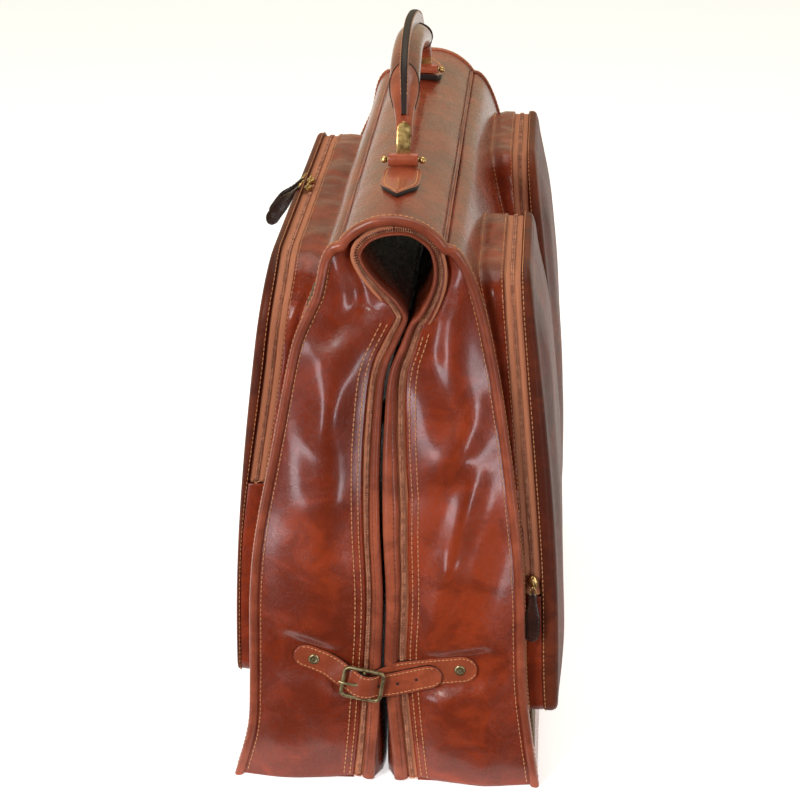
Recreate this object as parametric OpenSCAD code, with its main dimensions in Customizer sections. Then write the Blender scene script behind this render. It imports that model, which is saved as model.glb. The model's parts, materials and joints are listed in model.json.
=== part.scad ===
// Leather garment bag, folded in half over its spine and standing on its base.
// X runs through the thickness (front is -X), Y along the fold, Z up.
// The origin is the middle of the footprint, on the surface that the bag stands on.

/* [Bag] */
// Width of the bag, measured along the fold
bag_w = 580; // [540:5:620]
// Height of the folded bag at the top of its spine
bag_h = 555; // [545:5:570]
// Half of the thickness of the shell where it stands
base_half = 137; // [132:1:142]
// Thickness of the leather panels
leather = 3; // [2:0.5:3.5]
// Width of the turned edge at each end of the shell
binding_w = 9; // [7:1:11]
// Depth of the turned edge, through the shell
binding_deep = 6; // [5:0.5:7]

/* [Spine and fold] */
// Half of the distance between the two seams of the spine
seam_half = 45; // [42:1:48]
// Rise of the spine's dome above its seams
dome_rise = 24; // [22:1:26]
// Outer radius of the lid where it loops round the fold
loop_r = 29; // [26:1:30]
// Clearance between the spine and each half, at the fold
fold_gap = 3; // [2.5:0.5:4]

/* [Pockets] */
// Half width of the front pocket
front_pocket_half = 240; // [200:5:250]
// Height of the front pocket's top edge
front_pocket_top = 488; // [470:2:490]
// Height of the front pocket's lower edge
front_pocket_low = 82; // [70:2:100]
// Distance from the middle to the inner side of each back pocket
back_pocket_in = 68; // [50:2:90]
// Distance from the middle to the outer side of each back pocket
back_pocket_out = 275; // [260:5:278]
// Height of the back pockets' top edge
back_pocket_top = 498; // [480:2:500]
// Height of the back pockets' lower edge
back_pocket_low = 72; // [60:2:100]
// Distance from the middle to a pocket's face, low down
pocket_reach = 152; // [148:1:158]

/* [Handle] */
// Distance from the middle to each handle bar
bar_y = 158; // [150:1:165]
// Height of the handle above the spine
handle_h = 100; // [90:1:110]
// Radius of the padded grip
grip_r = 13; // [11:0.5:14]
// Height of the keel that stands on the grip
keel_h = 12; // [8:1:14]
// Thickness of the keel
keel_t = 7; // [5:0.5:9]

/* [Buckles] */
// Width of the buckled strap
billet_w = 24; // [20:1:25]
// Width of the strap that holds the buckle
chape_w = 29; // [26:1:32]
// Half length of the buckle frame
frame_half = 18; // [17:0.5:20]
// Half height of the buckle frame
frame_rise = 15; // [14:0.5:18]
// Radius of the frame's bars
frame_bar_r = 1.9; // [1.5:0.1:2.2]
// Height of the buckle's middle
buckle_z = 112; // [90:1:150]

/* [Hidden] */
$fn = 48;
FRONT = ["front_panel", "front_board", "front_bindings", "front_near_gusset", "front_far_gusset",
    "front_bottom_gusset", "front_lid_panel", "front_zip", "front_pocket_face", "front_pocket_gusset",
    "front_pocket_zip", "billets", "billet_rivets", "hanger_bar", "near_front_slider",
    "far_front_slider", "near_front_pull", "far_front_pull", "front_main_slider", "front_main_pull"];
BACK = ["back_panel", "back_board", "back_bindings", "back_near_gusset", "back_far_gusset",
    "back_bottom_gusset", "back_lid_panel", "back_zip", "back_pocket_faces", "back_pocket_gussets",
    "back_pocket_zips", "garment_straps", "chapes", "chape_rivets", "buckle_frames", "near_prong",
    "far_prong", "near_back_slider", "far_back_slider", "near_back_pull", "far_back_pull",
    "back_main_slider", "back_main_pull"];
SPINE = ["spine_panel", "spine_board", "spine_pipings", "arch_bindings", "fold_gussets",
    "fold_lid_panel", "fold_zips", "handle_tabs"];
HANDLE = ["handle_grip", "handle_keel", "handle_end_wraps", "handle_links", "handle_screws",
    "handle_bars", "bar_sleeves"];

// Colours
hide = [0.52, 0.20, 0.11];
dark_hide = [0.34, 0.13, 0.08];
edge_hide = [0.60, 0.28, 0.18];
tape = [0.62, 0.38, 0.26];
board = [0.55, 0.45, 0.35];
brass = [0.72, 0.56, 0.28];
old_brass = [0.50, 0.44, 0.29];
webbing = [0.28, 0.20, 0.16];

// Shell
seam_z = bag_h - dome_rise;
dome_r = (seam_half * seam_half + dome_rise * dome_rise) / (2 * dome_rise);
dome_z = bag_h - dome_r;
half_w = bag_w / 2;
panel_y = half_w - binding_w;
half_top = seam_z - fold_gap;
flank_power = 0.48;
flank_steps = 10;
board_t = 1.5;
board_y = half_w - 30;
board_low = 25;
board_high = 470;
binding_proud = 1;

// Ends: gussets, zips and lids
gusset_out = half_w - 3;
gusset_in = gusset_out - leather;
zip_in = 14;
zip_out = 25;
lid_clear = 1;
lid_top = bag_h - 107;
loop_z = bag_h - 47;
tip_reach = 1.533;
fold_zip_r = loop_r + 5.5;
fold_corner = [zip_out, lid_top + 13];
seam_corner = [seam_half - 2, seam_z - 8];

// Pockets
pocket_crown = 36;
pocket_steps = 12;
zip_half = 4;
front_zip_run = [0.45, 0.25, 8];
back_zip_run = [0.27, 0.38, 3];
front_pocket_r = 70;
back_pocket_r = 35;
pocket_low_r = 12;

// Handle
arc_y = bar_y - 10;
arc_end_z = bag_h + 35;
arc_top_z = bag_h + handle_h - keel_h - grip_r;
arc_rise = arc_top_z - arc_end_z;
arc_r = (arc_y * arc_y + arc_rise * arc_rise) / (2 * arc_rise);
arc_z = arc_top_z - arc_r;
grip_angle = 22;
wrap_half = 8;
tab_t = 4;
bar_r = 2;
bar_half = 16;
ball_r = 3;
sleeve_r = 5.2;
bar_z = bag_h + tab_t + sleeve_r + 1.2;
link_w = 11;
link_t = 2.2;
link_tilt = 30;
link_run = 30;
eye_r = 4;
link_inner = eye_r - link_t;
screw_r = 2.6;
tab_half = 16.5;
tab_near = bar_y - 6;
tab_tip = bar_y + 78;

// Buckle
buckle_x = -27;
buckle_y = half_w + 10;
buckle_tilt = 10;
chape_tilt = -8.4;
loop_tube_r = 3.6;
strap_t = 2.2;
slot_half = 2.3;
chape_rivet_x = 88;
billet_rivet_x = -45;
rivet_hole_r = 2;
billet_deep = 9.3;
billet_end = [60, -7.2];

// Sliders and pulls
slider_l = 14;
slider_w = 8;
slider_t = 4;
slider_gap = 0.4;
pull_l = 44;
pull_w = 13;
pull_t = 2.4;
front_slider_y = 12;
back_slider_z = 212;
back_pull_lean = 7;
main_slider_z = 192;
main_slider_x = (zip_in + zip_out) / 2;

// Half thickness of the shell at a height
function flank_x(z) = seam_half + (base_half - seam_half) * pow(1 - z / seam_z, flank_power);
// Points down the flank, closer together where it turns under the seam
function flank_run(low, high, inset) =
    let (a = sqrt(1 - low / seam_z), b = sqrt(1 - high / seam_z))
    [for (i = [0:flank_steps])
        let (s = a + (b - a) * i / flank_steps, z = seam_z * (1 - s * s))
        [flank_x(z) - inset, z]];
function reversed(list) = [for (i = [len(list) - 1:-1:0]) list[i]];
// Outer face of a pocket at a height: leaning at the top, upright low down
function pocket_x(z, low, high) =
    pocket_reach - pocket_crown * (1 - sin(90 * (high - z) / (high - low)));
function pocket_run(inset, low, high) = [for (i = [0:pocket_steps])
    let (z = low + (high - low) * i / pocket_steps) [pocket_x(z, low, high) - inset, z]];
// Middle of a pocket's zip at a height: a share of the pocket's depth that grows towards the top
function zip_x(z, low, high, run) =
    let (x = flank_x(z), share = run[0] + run[1] * pow((z - low) / (high - low), run[2]))
    x + share * (pocket_x(z, low, high) - x);
function zip_line(offset, low, high, run) = [for (i = [0:pocket_steps])
    let (z = low + (high - low) * i / pocket_steps) [zip_x(z, low, high, run) + offset, z]];
// A point in Y and Z given across and along a handle link
function link_point(across, along) =
    [bar_y + across * cos(link_tilt) - along * sin(link_tilt),
        bar_z + across * sin(link_tilt) + along * cos(link_tilt)];
// Outline of a strip that follows a line of points
function unit(v) = v / norm(v);
function side_of(points, i) =
    let (a = points[max(i - 1, 0)], b = points[min(i + 1, len(points) - 1)], d = unit(b - a))
    [-d[1], d[0]];
function strip(points, half) = concat(
    [for (i = [0:len(points) - 1]) points[i] + half * side_of(points, i)],
    reversed([for (i = [0:len(points) - 1]) points[i] - half * side_of(points, i)]));

module at_both_ends() {
    children();
    mirror([0, 1, 0]) children();
}
module on_front() {
    mirror([1, 0, 0]) children();
}
// Extrudes an outline drawn in X and Z along Y
module along_y(from, to) {
    translate([0, to, 0]) rotate([90, 0, 0]) linear_extrude(height = to - from) children();
}
// Extrudes an outline drawn in Y and Z along X
module along_x(from, to) {
    translate([from, 0, 0]) rotate([90, 0, 90]) linear_extrude(height = to - from) children();
}
module flank_band(low, high, outer, inner) {
    polygon(concat(flank_run(low, high, outer), reversed(flank_run(low, high, inner))));
}
// Sector of the dome between two radii
module dome_band(outer, inner, angle) {
    reach = 2 * dome_r;
    translate([0, dome_z]) intersection() {
        difference() {
            circle(outer, $fn = 96);
            circle(inner, $fn = 96);
        }
        polygon([[0, 0], [reach * sin(angle), reach * cos(angle)], [reach, 2 * reach],
            [-reach, 2 * reach], [-reach * sin(angle), reach * cos(angle)]]);
    }
}
// Loop of the lid round the fold, pointed where the two halves meet
module teardrop(r) {
    reach = tip_reach * r;
    lean = acos(1 / tip_reach);
    translate([0, loop_z]) {
        circle(r, $fn = 72);
        polygon([[0, -reach], [r * sin(lean), -r * cos(lean)], [0, 0], [-r * sin(lean), -r * cos(lean)]]);
    }
}
module rounded_outline(left, right, low, high, r_top, r_low) {
    translate([left, low + r_low]) square([right - left, high - low - r_low - r_top]);
    translate([left + r_top, high - r_top]) square([right - left - 2 * r_top, r_top]);
    translate([left + r_low, low]) square([right - left - 2 * r_low, r_low]);
    for (y = [left + r_top, right - r_top]) translate([y, high - r_top]) circle(r_top, $fn = 64);
    for (y = [left + r_low, right - r_low]) translate([y, low + r_low]) circle(r_low);
}

// Spine: the domed top of the shell, and what is sewn to it
dome_angle = asin(seam_half / dome_r);
module spine_panel() {
    color(hide) along_y(-panel_y, panel_y) dome_band(dome_r, dome_r - leather, dome_angle);
}
module spine_board() {
    inner = dome_r - leather;
    color(board) along_y(-board_y, board_y) dome_band(inner, inner - board_t, dome_angle - 12);
}
module spine_pipings() {
    cord_r = 2.2;
    angle = dome_angle - 2;
    color(dark_hide) for (side = [-1, 1]) along_y(-panel_y, panel_y) difference() {
        translate([side * dome_r * sin(angle), dome_z + dome_r * cos(angle)]) circle(cord_r);
        translate([0, dome_z]) circle(dome_r, $fn = 96);
    }
}
module arch_bindings() {
    color(edge_hide) at_both_ends() along_y(panel_y, half_w)
        dome_band(dome_r + binding_proud, dome_r - binding_deep, dome_angle);
}
module fold_gussets() {
    color(hide) at_both_ends() along_y(gusset_in, gusset_out) difference() {
        intersection() {
            translate([0, dome_z]) circle(dome_r - binding_deep, $fn = 96);
            polygon([[-seam_corner[0], seam_corner[1]], [1 - fold_corner[0], fold_corner[1]],
                [-3, lid_top + 3], [3, lid_top + 3], [fold_corner[0] - 1, fold_corner[1]],
                seam_corner, [seam_half, bag_h], [-seam_half, bag_h]]);
        }
        teardrop(fold_zip_r);
    }
}
module fold_lid_panel() {
    color(dark_hide) along_y(-gusset_out, gusset_out) difference() {
        teardrop(loop_r);
        teardrop(loop_r - leather);
    }
}
module fold_zips() {
    color(tape) at_both_ends() along_y(gusset_in + 0.5, gusset_out) difference() {
        teardrop(fold_zip_r);
        teardrop(loop_r);
    }
}
// Shield-shaped tabs that carry the handle
module handle_tabs() {
    shoulder = bar_y + 50;
    color(hide) at_both_ends() intersection() {
        along_y(tab_near, tab_tip) dome_band(dome_r + tab_t, dome_r, dome_angle);
        translate([0, 0, bag_h - dome_rise]) linear_extrude(height = 2 * dome_rise)
            polygon([[-tab_half, tab_near], [tab_half, tab_near], [tab_half, shoulder],
                [tab_half * 0.8, shoulder + 12], [0, tab_tip], [-tab_half * 0.8, shoulder + 12],
                [-tab_half, shoulder]]);
    }
}

// Handle: a padded roll with a keel, hung between two brass bars
module handle_arc(from, to) {
    translate([0, 0, arc_z]) rotate([0, -90, 0]) rotate([0, 0, from])
        rotate_extrude(angle = to - from, $fn = 180) translate([arc_r, 0]) children();
}
module handle_grip() {
    color(hide) handle_arc(-grip_angle, grip_angle) circle(grip_r);
}
module handle_keel() {
    color(dark_hide) handle_arc(-grip_angle, grip_angle) difference() {
        translate([0, -keel_t / 2]) square([grip_r + keel_h, keel_t]);
        circle(grip_r);
    }
}
// Leather ends of the grip, which turn down to the links
module handle_end_wraps() {
    half_t = 7.5;
    back = link_inner - half_t;
    grip_end = [arc_r * sin(grip_angle + 0.2), arc_z + arc_r * cos(grip_angle + 0.2)];
    color(hide) at_both_ends() along_x(-wrap_half, wrap_half) difference() {
        polygon(strip([grip_end, grip_end + [18, -9], link_point(back, 28), link_point(back, 10)], half_t));
        translate([0, -arc_r]) square([grip_end[0], 3 * arc_r]);
    }
}
module on_link() {
    translate([0, bar_y, bar_z]) rotate([link_tilt, 0, 0]) children();
}
module handle_links() {
    color(brass) at_both_ends() on_link() difference() {
        union() {
            rotate([0, 90, 0]) cylinder(r = eye_r, h = link_w, center = true);
            translate([-link_w / 2, link_inner, 0]) cube([link_w, link_t, link_run]);
        }
        rotate([0, 90, 0]) cylinder(r = bar_r + 0.05, h = 2 * link_w, center = true);
        translate([0, 0, link_run - 6]) rotate([-90, 0, 0]) cylinder(r = screw_r, h = 20);
    }
}
module handle_screws() {
    color(brass) at_both_ends() on_link() translate([0, link_inner, link_run - 6]) rotate([-90, 0, 0])
        cylinder(r = screw_r, h = 3.4);
}
module handle_bars() {
    color(brass) at_both_ends() translate([0, bar_y, bar_z]) {
        rotate([0, 90, 0]) cylinder(r = bar_r, h = 2 * bar_half, center = true);
        for (side = [-1, 1]) translate([side * bar_half, 0, 0]) sphere(ball_r);
    }
}
module bar_sleeves() {
    inner = link_w / 2 + 0.4;
    sleeve_l = 7;
    color(hide) at_both_ends() for (side = [-1, 1])
        translate([side * (inner + sleeve_l / 2), bar_y, bar_z]) rotate([0, 90, 0]) difference() {
            cylinder(r = sleeve_r, h = sleeve_l, center = true);
            cylinder(r = bar_r + 0.1, h = 2 * sleeve_l, center = true);
        }
}

// One half of the shell, drawn on the +X side
module half_panel() {
    color(hide) along_y(-panel_y, panel_y) flank_band(0, half_top, 0, leather);
}
module half_board() {
    color(board) along_y(-board_y, board_y) intersection() {
        flank_band(0, half_top, leather, leather + board_t);
        translate([0, board_low]) square([base_half, board_high - board_low]);
    }
}
module half_bindings() {
    color(edge_hide) at_both_ends() along_y(panel_y, half_w)
        flank_band(0, half_top, -binding_proud, binding_deep);
}
module half_end_gusset() {
    top = seam_corner[1] - 3;
    color(hide) along_y(gusset_in, gusset_out) polygon(concat(
        flank_run(0, top, binding_deep + 0.3),
        [[seam_corner[0] + 1, top], [zip_out + 1, fold_corner[1] - 1], [zip_out + 1, 0]]));
}
module half_bottom_gusset() {
    inset = binding_deep + 0.5;
    color(hide) along_y(-gusset_in, gusset_in) polygon([[zip_out + 0.5, 0], [flank_x(0) - inset, 0],
        [flank_x(leather) - inset, leather], [zip_out + 0.5, leather]]);
}
// Rim that runs down one end, along the bottom and up the other end
module rim(from, to, out, thick, low, high) {
    along_x(from, to) difference() {
        translate([-out, low]) square([2 * out, high - low]);
        translate([thick - out, low + thick]) square([2 * (out - thick), high]);
    }
}
module half_zip() {
    color(tape) rim(zip_in, zip_out, gusset_out + 0.5, leather, 0.3, lid_top);
}
module half_lid_panel() {
    out = gusset_out + 1;
    color(dark_hide) union() {
        rim(lid_clear, zip_in - 0.5, out, leather, 0.2, lid_top);
        along_x(lid_clear, lid_clear + leather) translate([-out, 0.2]) square([2 * out, lid_top - 0.2]);
    }
}

// Pockets, drawn on the +X side
module between(inner, outer) {
    polygon(concat(inner, reversed(outer)));
}
module pocket_outline(left, right, low, high, r_top, inset) {
    rounded_outline(left + inset, right - inset, low + inset, high - inset, r_top - inset,
        pocket_low_r - inset);
}
// Wall that follows the pocket's outline, cut to a band drawn in X and Z
module pocket_wall(left, right, low, high, r_top) {
    intersection() {
        along_y(left, right) children();
        along_x(seam_half, pocket_reach + 1) difference() {
            pocket_outline(left, right, low, high, r_top, 0);
            pocket_outline(left, right, low, high, r_top, leather);
        }
    }
}
module pocket_gusset(left, right, low, high, r_top, run) {
    pocket_wall(left, right, low, high, r_top)
        between(flank_run(0, half_top, 0), zip_line(-zip_half, low, high, run));
}
module pocket_zip(left, right, low, high, r_top, run) {
    pocket_wall(left, right, low, high, r_top)
        between(zip_line(-zip_half, low, high, run), zip_line(zip_half, low, high, run));
}
module pocket_face(left, right, low, high, r_top, run) {
    difference() {
        intersection() {
            along_y(left, right) between(zip_line(zip_half, low, high, run), pocket_run(0, low, high));
            along_x(seam_half, pocket_reach + 1) pocket_outline(left, right, low, high, r_top, 0);
        }
        intersection() {
            along_y(left, right)
                between(zip_line(-zip_half, low, high, run), pocket_run(leather, low, high));
            along_x(seam_half, pocket_reach + 1) pocket_outline(left, right, low, high, r_top, leather);
        }
    }
}

// Front half
module front_panel() {
    on_front() half_panel();
}
module front_board() {
    on_front() half_board();
}
module front_bindings() {
    on_front() half_bindings();
}
module front_near_gusset() {
    on_front() mirror([0, 1, 0]) half_end_gusset();
}
module front_far_gusset() {
    on_front() half_end_gusset();
}
module front_bottom_gusset() {
    on_front() half_bottom_gusset();
}
module front_lid_panel() {
    on_front() half_lid_panel();
}
module front_zip() {
    on_front() half_zip();
}
module front_pocket_face() {
    color(hide) on_front() pocket_face(-front_pocket_half, front_pocket_half, front_pocket_low,
        front_pocket_top, front_pocket_r, front_zip_run);
}
module front_pocket_gusset() {
    color(hide) on_front() pocket_gusset(-front_pocket_half, front_pocket_half, front_pocket_low,
        front_pocket_top, front_pocket_r, front_zip_run);
}
module front_pocket_zip() {
    color(tape) on_front() pocket_zip(-front_pocket_half, front_pocket_half, front_pocket_low,
        front_pocket_top, front_pocket_r, front_zip_run);
}
// Brass bar inside the front half, low down, that the hangers hook over
module hanger_bar() {
    post_x = base_half - 40;
    post_y = 45;
    post_h = 60;
    rod_r = 3;
    foot_r = 9;
    foot_t = 2;
    color(brass) on_front() translate([post_x, 0, 0]) {
        translate([0, 0, post_h]) rotate([90, 0, 0]) cylinder(r = rod_r, h = 2 * post_y, center = true);
        for (side = [-1, 1]) translate([0, side * post_y, 0]) {
            translate([0, 0, post_h]) sphere(rod_r);
            translate([0, 0, leather]) cylinder(r = rod_r, h = post_h - leather);
            translate([0, 0, leather]) cylinder(r = foot_r, h = foot_t);
        }
    }
}
// Webbing straps inside the back half that hold the clothes flat
module garment_straps() {
    face = lid_clear + leather + 4;
    reach = gusset_in - 0.5;
    color(webbing) for (z = [190, 350])
        along_x(face, face + 1.5) translate([-reach, z]) square([2 * reach, 25]);
}

// Back half
module back_panel() {
    half_panel();
}
module back_board() {
    half_board();
}
module back_bindings() {
    half_bindings();
}
module back_near_gusset() {
    mirror([0, 1, 0]) half_end_gusset();
}
module back_far_gusset() {
    half_end_gusset();
}
module back_bottom_gusset() {
    half_bottom_gusset();
}
module back_lid_panel() {
    half_lid_panel();
}
module back_zip() {
    half_zip();
}
module back_pocket_faces() {
    color(dark_hide) at_both_ends() pocket_face(back_pocket_in, back_pocket_out, back_pocket_low,
        back_pocket_top, back_pocket_r, back_zip_run);
}
module back_pocket_gussets() {
    color(hide) at_both_ends() pocket_gusset(back_pocket_in, back_pocket_out, back_pocket_low,
        back_pocket_top, back_pocket_r, back_zip_run);
}
module back_pocket_zips() {
    color(tape) at_both_ends() pocket_zip(back_pocket_in, back_pocket_out, back_pocket_low,
        back_pocket_top, back_pocket_r, back_zip_run);
}

// Buckled straps, drawn at the far end round the middle of the buckle
module on_buckle(tilt) {
    translate([buckle_x, buckle_y, buckle_z]) rotate([0, tilt, 0]) children();
}
// Strip that follows a line drawn in X and Y, as wide as the strap
module strap(points, thick, width) {
    translate([0, 0, -width / 2]) linear_extrude(height = width) polygon(strip(points, thick / 2));
}
billet_line = [[-62, -billet_deep], [-33, -billet_deep], [-22, -4.3], [-18, -3.6], [-14, -3.2], [-4, 5.2], [4, 5.2],
    [14, -3.2], [18, -3.6], [26, -6], [34, billet_end[1]], billet_end];
module billet_far() {
    on_buckle(buckle_tilt) difference() {
        union() {
            strap(billet_line, strap_t, billet_w);
            translate([billet_end[0], billet_end[1], 0]) rotate([90, 0, 0])
                cylinder(r = billet_w / 2, h = strap_t, center = true);
        }
        translate([-9, 2, -slot_half]) cube([17, 8, 2 * slot_half]);
        translate([billet_rivet_x, 0, 0]) rotate([90, 0, 0])
            cylinder(r = rivet_hole_r, h = 40, center = true);
    }
}
module billets() {
    color(hide) at_both_ends() billet_far();
}
// Rivet whose head rests on a strap's outer face
module rivet(x, face, depth) {
    head_t = 1.4;
    color(old_brass) translate([x, face + head_t / 2, 0]) rotate([90, 0, 0]) {
        cylinder(r = 5, h = head_t, center = true);
        cylinder(r = rivet_hole_r - 0.1, h = depth);
    }
}
module billet_rivets() {
    at_both_ends() on_buckle(buckle_tilt) rivet(billet_rivet_x, strap_t / 2 - billet_deep, 5.2);
}
chape_t = 2.6;
chape_deep = 10.6;
chape_line = [[0, -4.6], [12, -6.2], [24, -10], [30, -chape_deep], [chape_rivet_x, -chape_deep]];
module chape_far() {
    difference() {
        union() {
            on_buckle(chape_tilt) strap(chape_line, chape_t, chape_w - 6);
            on_buckle(chape_tilt) translate([chape_rivet_x, -chape_deep, 0]) rotate([90, 0, 0])
                cylinder(r = chape_w / 2, h = chape_t, center = true);
            on_buckle(buckle_tilt) cylinder(r = loop_tube_r, h = 20, center = true);
        }
        on_buckle(buckle_tilt) cylinder(r = 1.6, h = 40, center = true);
        on_buckle(buckle_tilt) translate([-20, -5.1, -slot_half]) cube([30, 20, 2 * slot_half]);
        on_buckle(chape_tilt) translate([chape_rivet_x, 0, 0]) rotate([90, 0, 0])
            cylinder(r = rivet_hole_r, h = 40, center = true);
    }
}
module chapes() {
    color(hide) at_both_ends() chape_far();
}
module chape_rivets() {
    at_both_ends() on_buckle(chape_tilt) rivet(chape_rivet_x, chape_t / 2 - chape_deep, 4.2);
}
module buckle_frame_far() {
    on_buckle(buckle_tilt) {
        for (x = [-frame_half, frame_half]) translate([x, 0, 0])
            cylinder(r = frame_bar_r, h = 2 * frame_rise, center = true);
        for (z = [-frame_rise, frame_rise]) translate([0, 0, z]) rotate([0, 90, 0])
            cylinder(r = frame_bar_r, h = 2 * frame_half, center = true);
        for (x = [-frame_half, frame_half], z = [-frame_rise, frame_rise]) translate([x, 0, z])
            sphere(frame_bar_r);
        cylinder(r = 1.5, h = 2 * frame_rise, center = true);
    }
}
module buckle_frames() {
    color(old_brass) at_both_ends() buckle_frame_far();
}
module prong_far() {
    ring_h = 3.6;
    rod_r = 1.3;
    color(old_brass) on_buckle(buckle_tilt) difference() {
        union() {
            cylinder(r = 3.4, h = ring_h, center = true);
            translate([-frame_half - 3, frame_bar_r + rod_r + 0.4, 0]) rotate([0, 90, 0])
                cylinder(r = rod_r, h = frame_half + 3);
            translate([-frame_half - 3, frame_bar_r + rod_r + 0.4, 0]) sphere(rod_r);
        }
        cylinder(r = 1.56, h = 2 * ring_h, center = true);
    }
}
module far_prong() {
    prong_far();
}
module near_prong() {
    mirror([0, 1, 0]) prong_far();
}

// Zip slider on a surface that faces +Z, with a bridge for its pull
module slider() {
    color(brass) {
        translate([-slider_w / 2, -slider_l / 2, slider_gap]) cube([slider_w, slider_l, slider_t]);
        translate([-1.5, -slider_l / 2 + 2, slider_gap]) cube([3, slider_l - 4, slider_t + 2]);
    }
}
// Leather pull, drawn hanging down from its eye
module pull() {
    color(dark_hide) difference() {
        union() {
            translate([-pull_t / 2, -pull_w / 2, -pull_l]) cube([pull_t, pull_w, pull_l]);
            translate([0, 0, -pull_l]) rotate([0, 90, 0]) cylinder(r = pull_w / 2, h = pull_t, center = true);
        }
        translate([0, 0, -4]) rotate([0, 90, 0]) cylinder(r = 2, h = 10, center = true);
    }
}
front_zip_x = zip_x(front_pocket_top, front_pocket_low, front_pocket_top, front_zip_run);
front_pull_x = front_zip_x + slider_w / 2 + 1;
front_pull_z = front_pocket_top + slider_gap + slider_t + 4;
pull_lean = 52;
module front_slider_far() {
    on_front() translate([front_zip_x, front_slider_y, front_pocket_top]) slider();
}
module front_pull_far() {
    on_front() translate([front_pull_x, front_slider_y, front_pull_z]) rotate([0, -pull_lean, 0])
        translate([0, 0, -2]) pull();
}
module far_front_slider() {
    front_slider_far();
}
module near_front_slider() {
    mirror([0, 1, 0]) front_slider_far();
}
module far_front_pull() {
    front_pull_far();
}
module near_front_pull() {
    mirror([0, 1, 0]) front_pull_far();
}
back_zip_x = zip_x(back_slider_z, back_pocket_low, back_pocket_top, back_zip_run);
// Slider and pull on a wall that faces the far end
module end_slider(x, y, z) {
    translate([x, y, z]) rotate([-90, 0, 0]) slider();
}
module end_pull(x, y, z, lean) {
    translate([x, y + slider_gap + slider_t + 2.5 + pull_t, z - 3]) rotate([0, -lean, 0])
        rotate([0, 0, 90]) pull();
}
module far_back_slider() {
    end_slider(back_zip_x, back_pocket_out, back_slider_z);
}
module near_back_slider() {
    mirror([0, 1, 0]) far_back_slider();
}
module far_back_pull() {
    end_pull(back_zip_x, back_pocket_out, back_slider_z, back_pull_lean);
}
module near_back_pull() {
    mirror([0, 1, 0]) far_back_pull();
}
module back_main_slider() {
    end_slider(main_slider_x, gusset_out + 0.5, main_slider_z);
}
module back_main_pull() {
    end_pull(main_slider_x, gusset_out + 0.5, main_slider_z, 0);
}
module front_main_slider() {
    on_front() back_main_slider();
}
module front_main_pull() {
    on_front() back_main_pull();
}

spine_panel();
spine_board();
spine_pipings();
arch_bindings();
fold_gussets();
fold_lid_panel();
fold_zips();
handle_tabs();
handle_grip();
handle_keel();
handle_end_wraps();
handle_links();
handle_screws();
handle_bars();
bar_sleeves();
front_panel();
front_board();
front_bindings();
front_near_gusset();
front_far_gusset();
front_bottom_gusset();
front_lid_panel();
front_zip();
front_pocket_face();
front_pocket_gusset();
front_pocket_zip();
billets();
billet_rivets();
hanger_bar();
near_front_slider();
far_front_slider();
near_front_pull();
far_front_pull();
front_main_slider();
front_main_pull();
back_panel();
back_board();
back_bindings();
back_near_gusset();
back_far_gusset();
back_bottom_gusset();
back_lid_panel();
back_zip();
back_pocket_faces();
back_pocket_gussets();
back_pocket_zips();
garment_straps();
chapes();
chape_rivets();
buckle_frames();
near_prong();
far_prong();
near_back_slider();
far_back_slider();
near_back_pull();
far_back_pull();
back_main_slider();
back_main_pull();
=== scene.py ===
import json
import math

import bpy
import numpy as np
from mathutils import Matrix, Vector, noise


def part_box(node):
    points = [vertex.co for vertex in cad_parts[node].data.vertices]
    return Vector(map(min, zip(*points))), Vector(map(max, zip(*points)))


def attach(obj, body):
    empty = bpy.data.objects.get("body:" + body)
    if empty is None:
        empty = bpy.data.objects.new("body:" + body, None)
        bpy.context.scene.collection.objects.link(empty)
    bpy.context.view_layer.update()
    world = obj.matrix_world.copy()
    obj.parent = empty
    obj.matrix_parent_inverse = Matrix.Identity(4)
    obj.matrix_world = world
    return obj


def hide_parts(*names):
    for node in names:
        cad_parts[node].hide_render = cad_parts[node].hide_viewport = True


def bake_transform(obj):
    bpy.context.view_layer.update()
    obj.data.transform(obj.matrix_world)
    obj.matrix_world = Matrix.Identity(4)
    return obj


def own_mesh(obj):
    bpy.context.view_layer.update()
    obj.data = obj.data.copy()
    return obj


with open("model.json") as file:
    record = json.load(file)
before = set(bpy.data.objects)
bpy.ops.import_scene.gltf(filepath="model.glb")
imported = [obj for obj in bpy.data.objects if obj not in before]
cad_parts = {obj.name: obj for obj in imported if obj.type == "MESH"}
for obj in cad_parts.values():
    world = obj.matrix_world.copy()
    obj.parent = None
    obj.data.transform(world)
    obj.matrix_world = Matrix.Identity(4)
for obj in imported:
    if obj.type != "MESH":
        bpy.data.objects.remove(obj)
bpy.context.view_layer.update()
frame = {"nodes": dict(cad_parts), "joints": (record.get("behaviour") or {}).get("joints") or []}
mm = 0.001
scene = bpy.context.scene
scene.view_settings.view_transform = "Standard"

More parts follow.
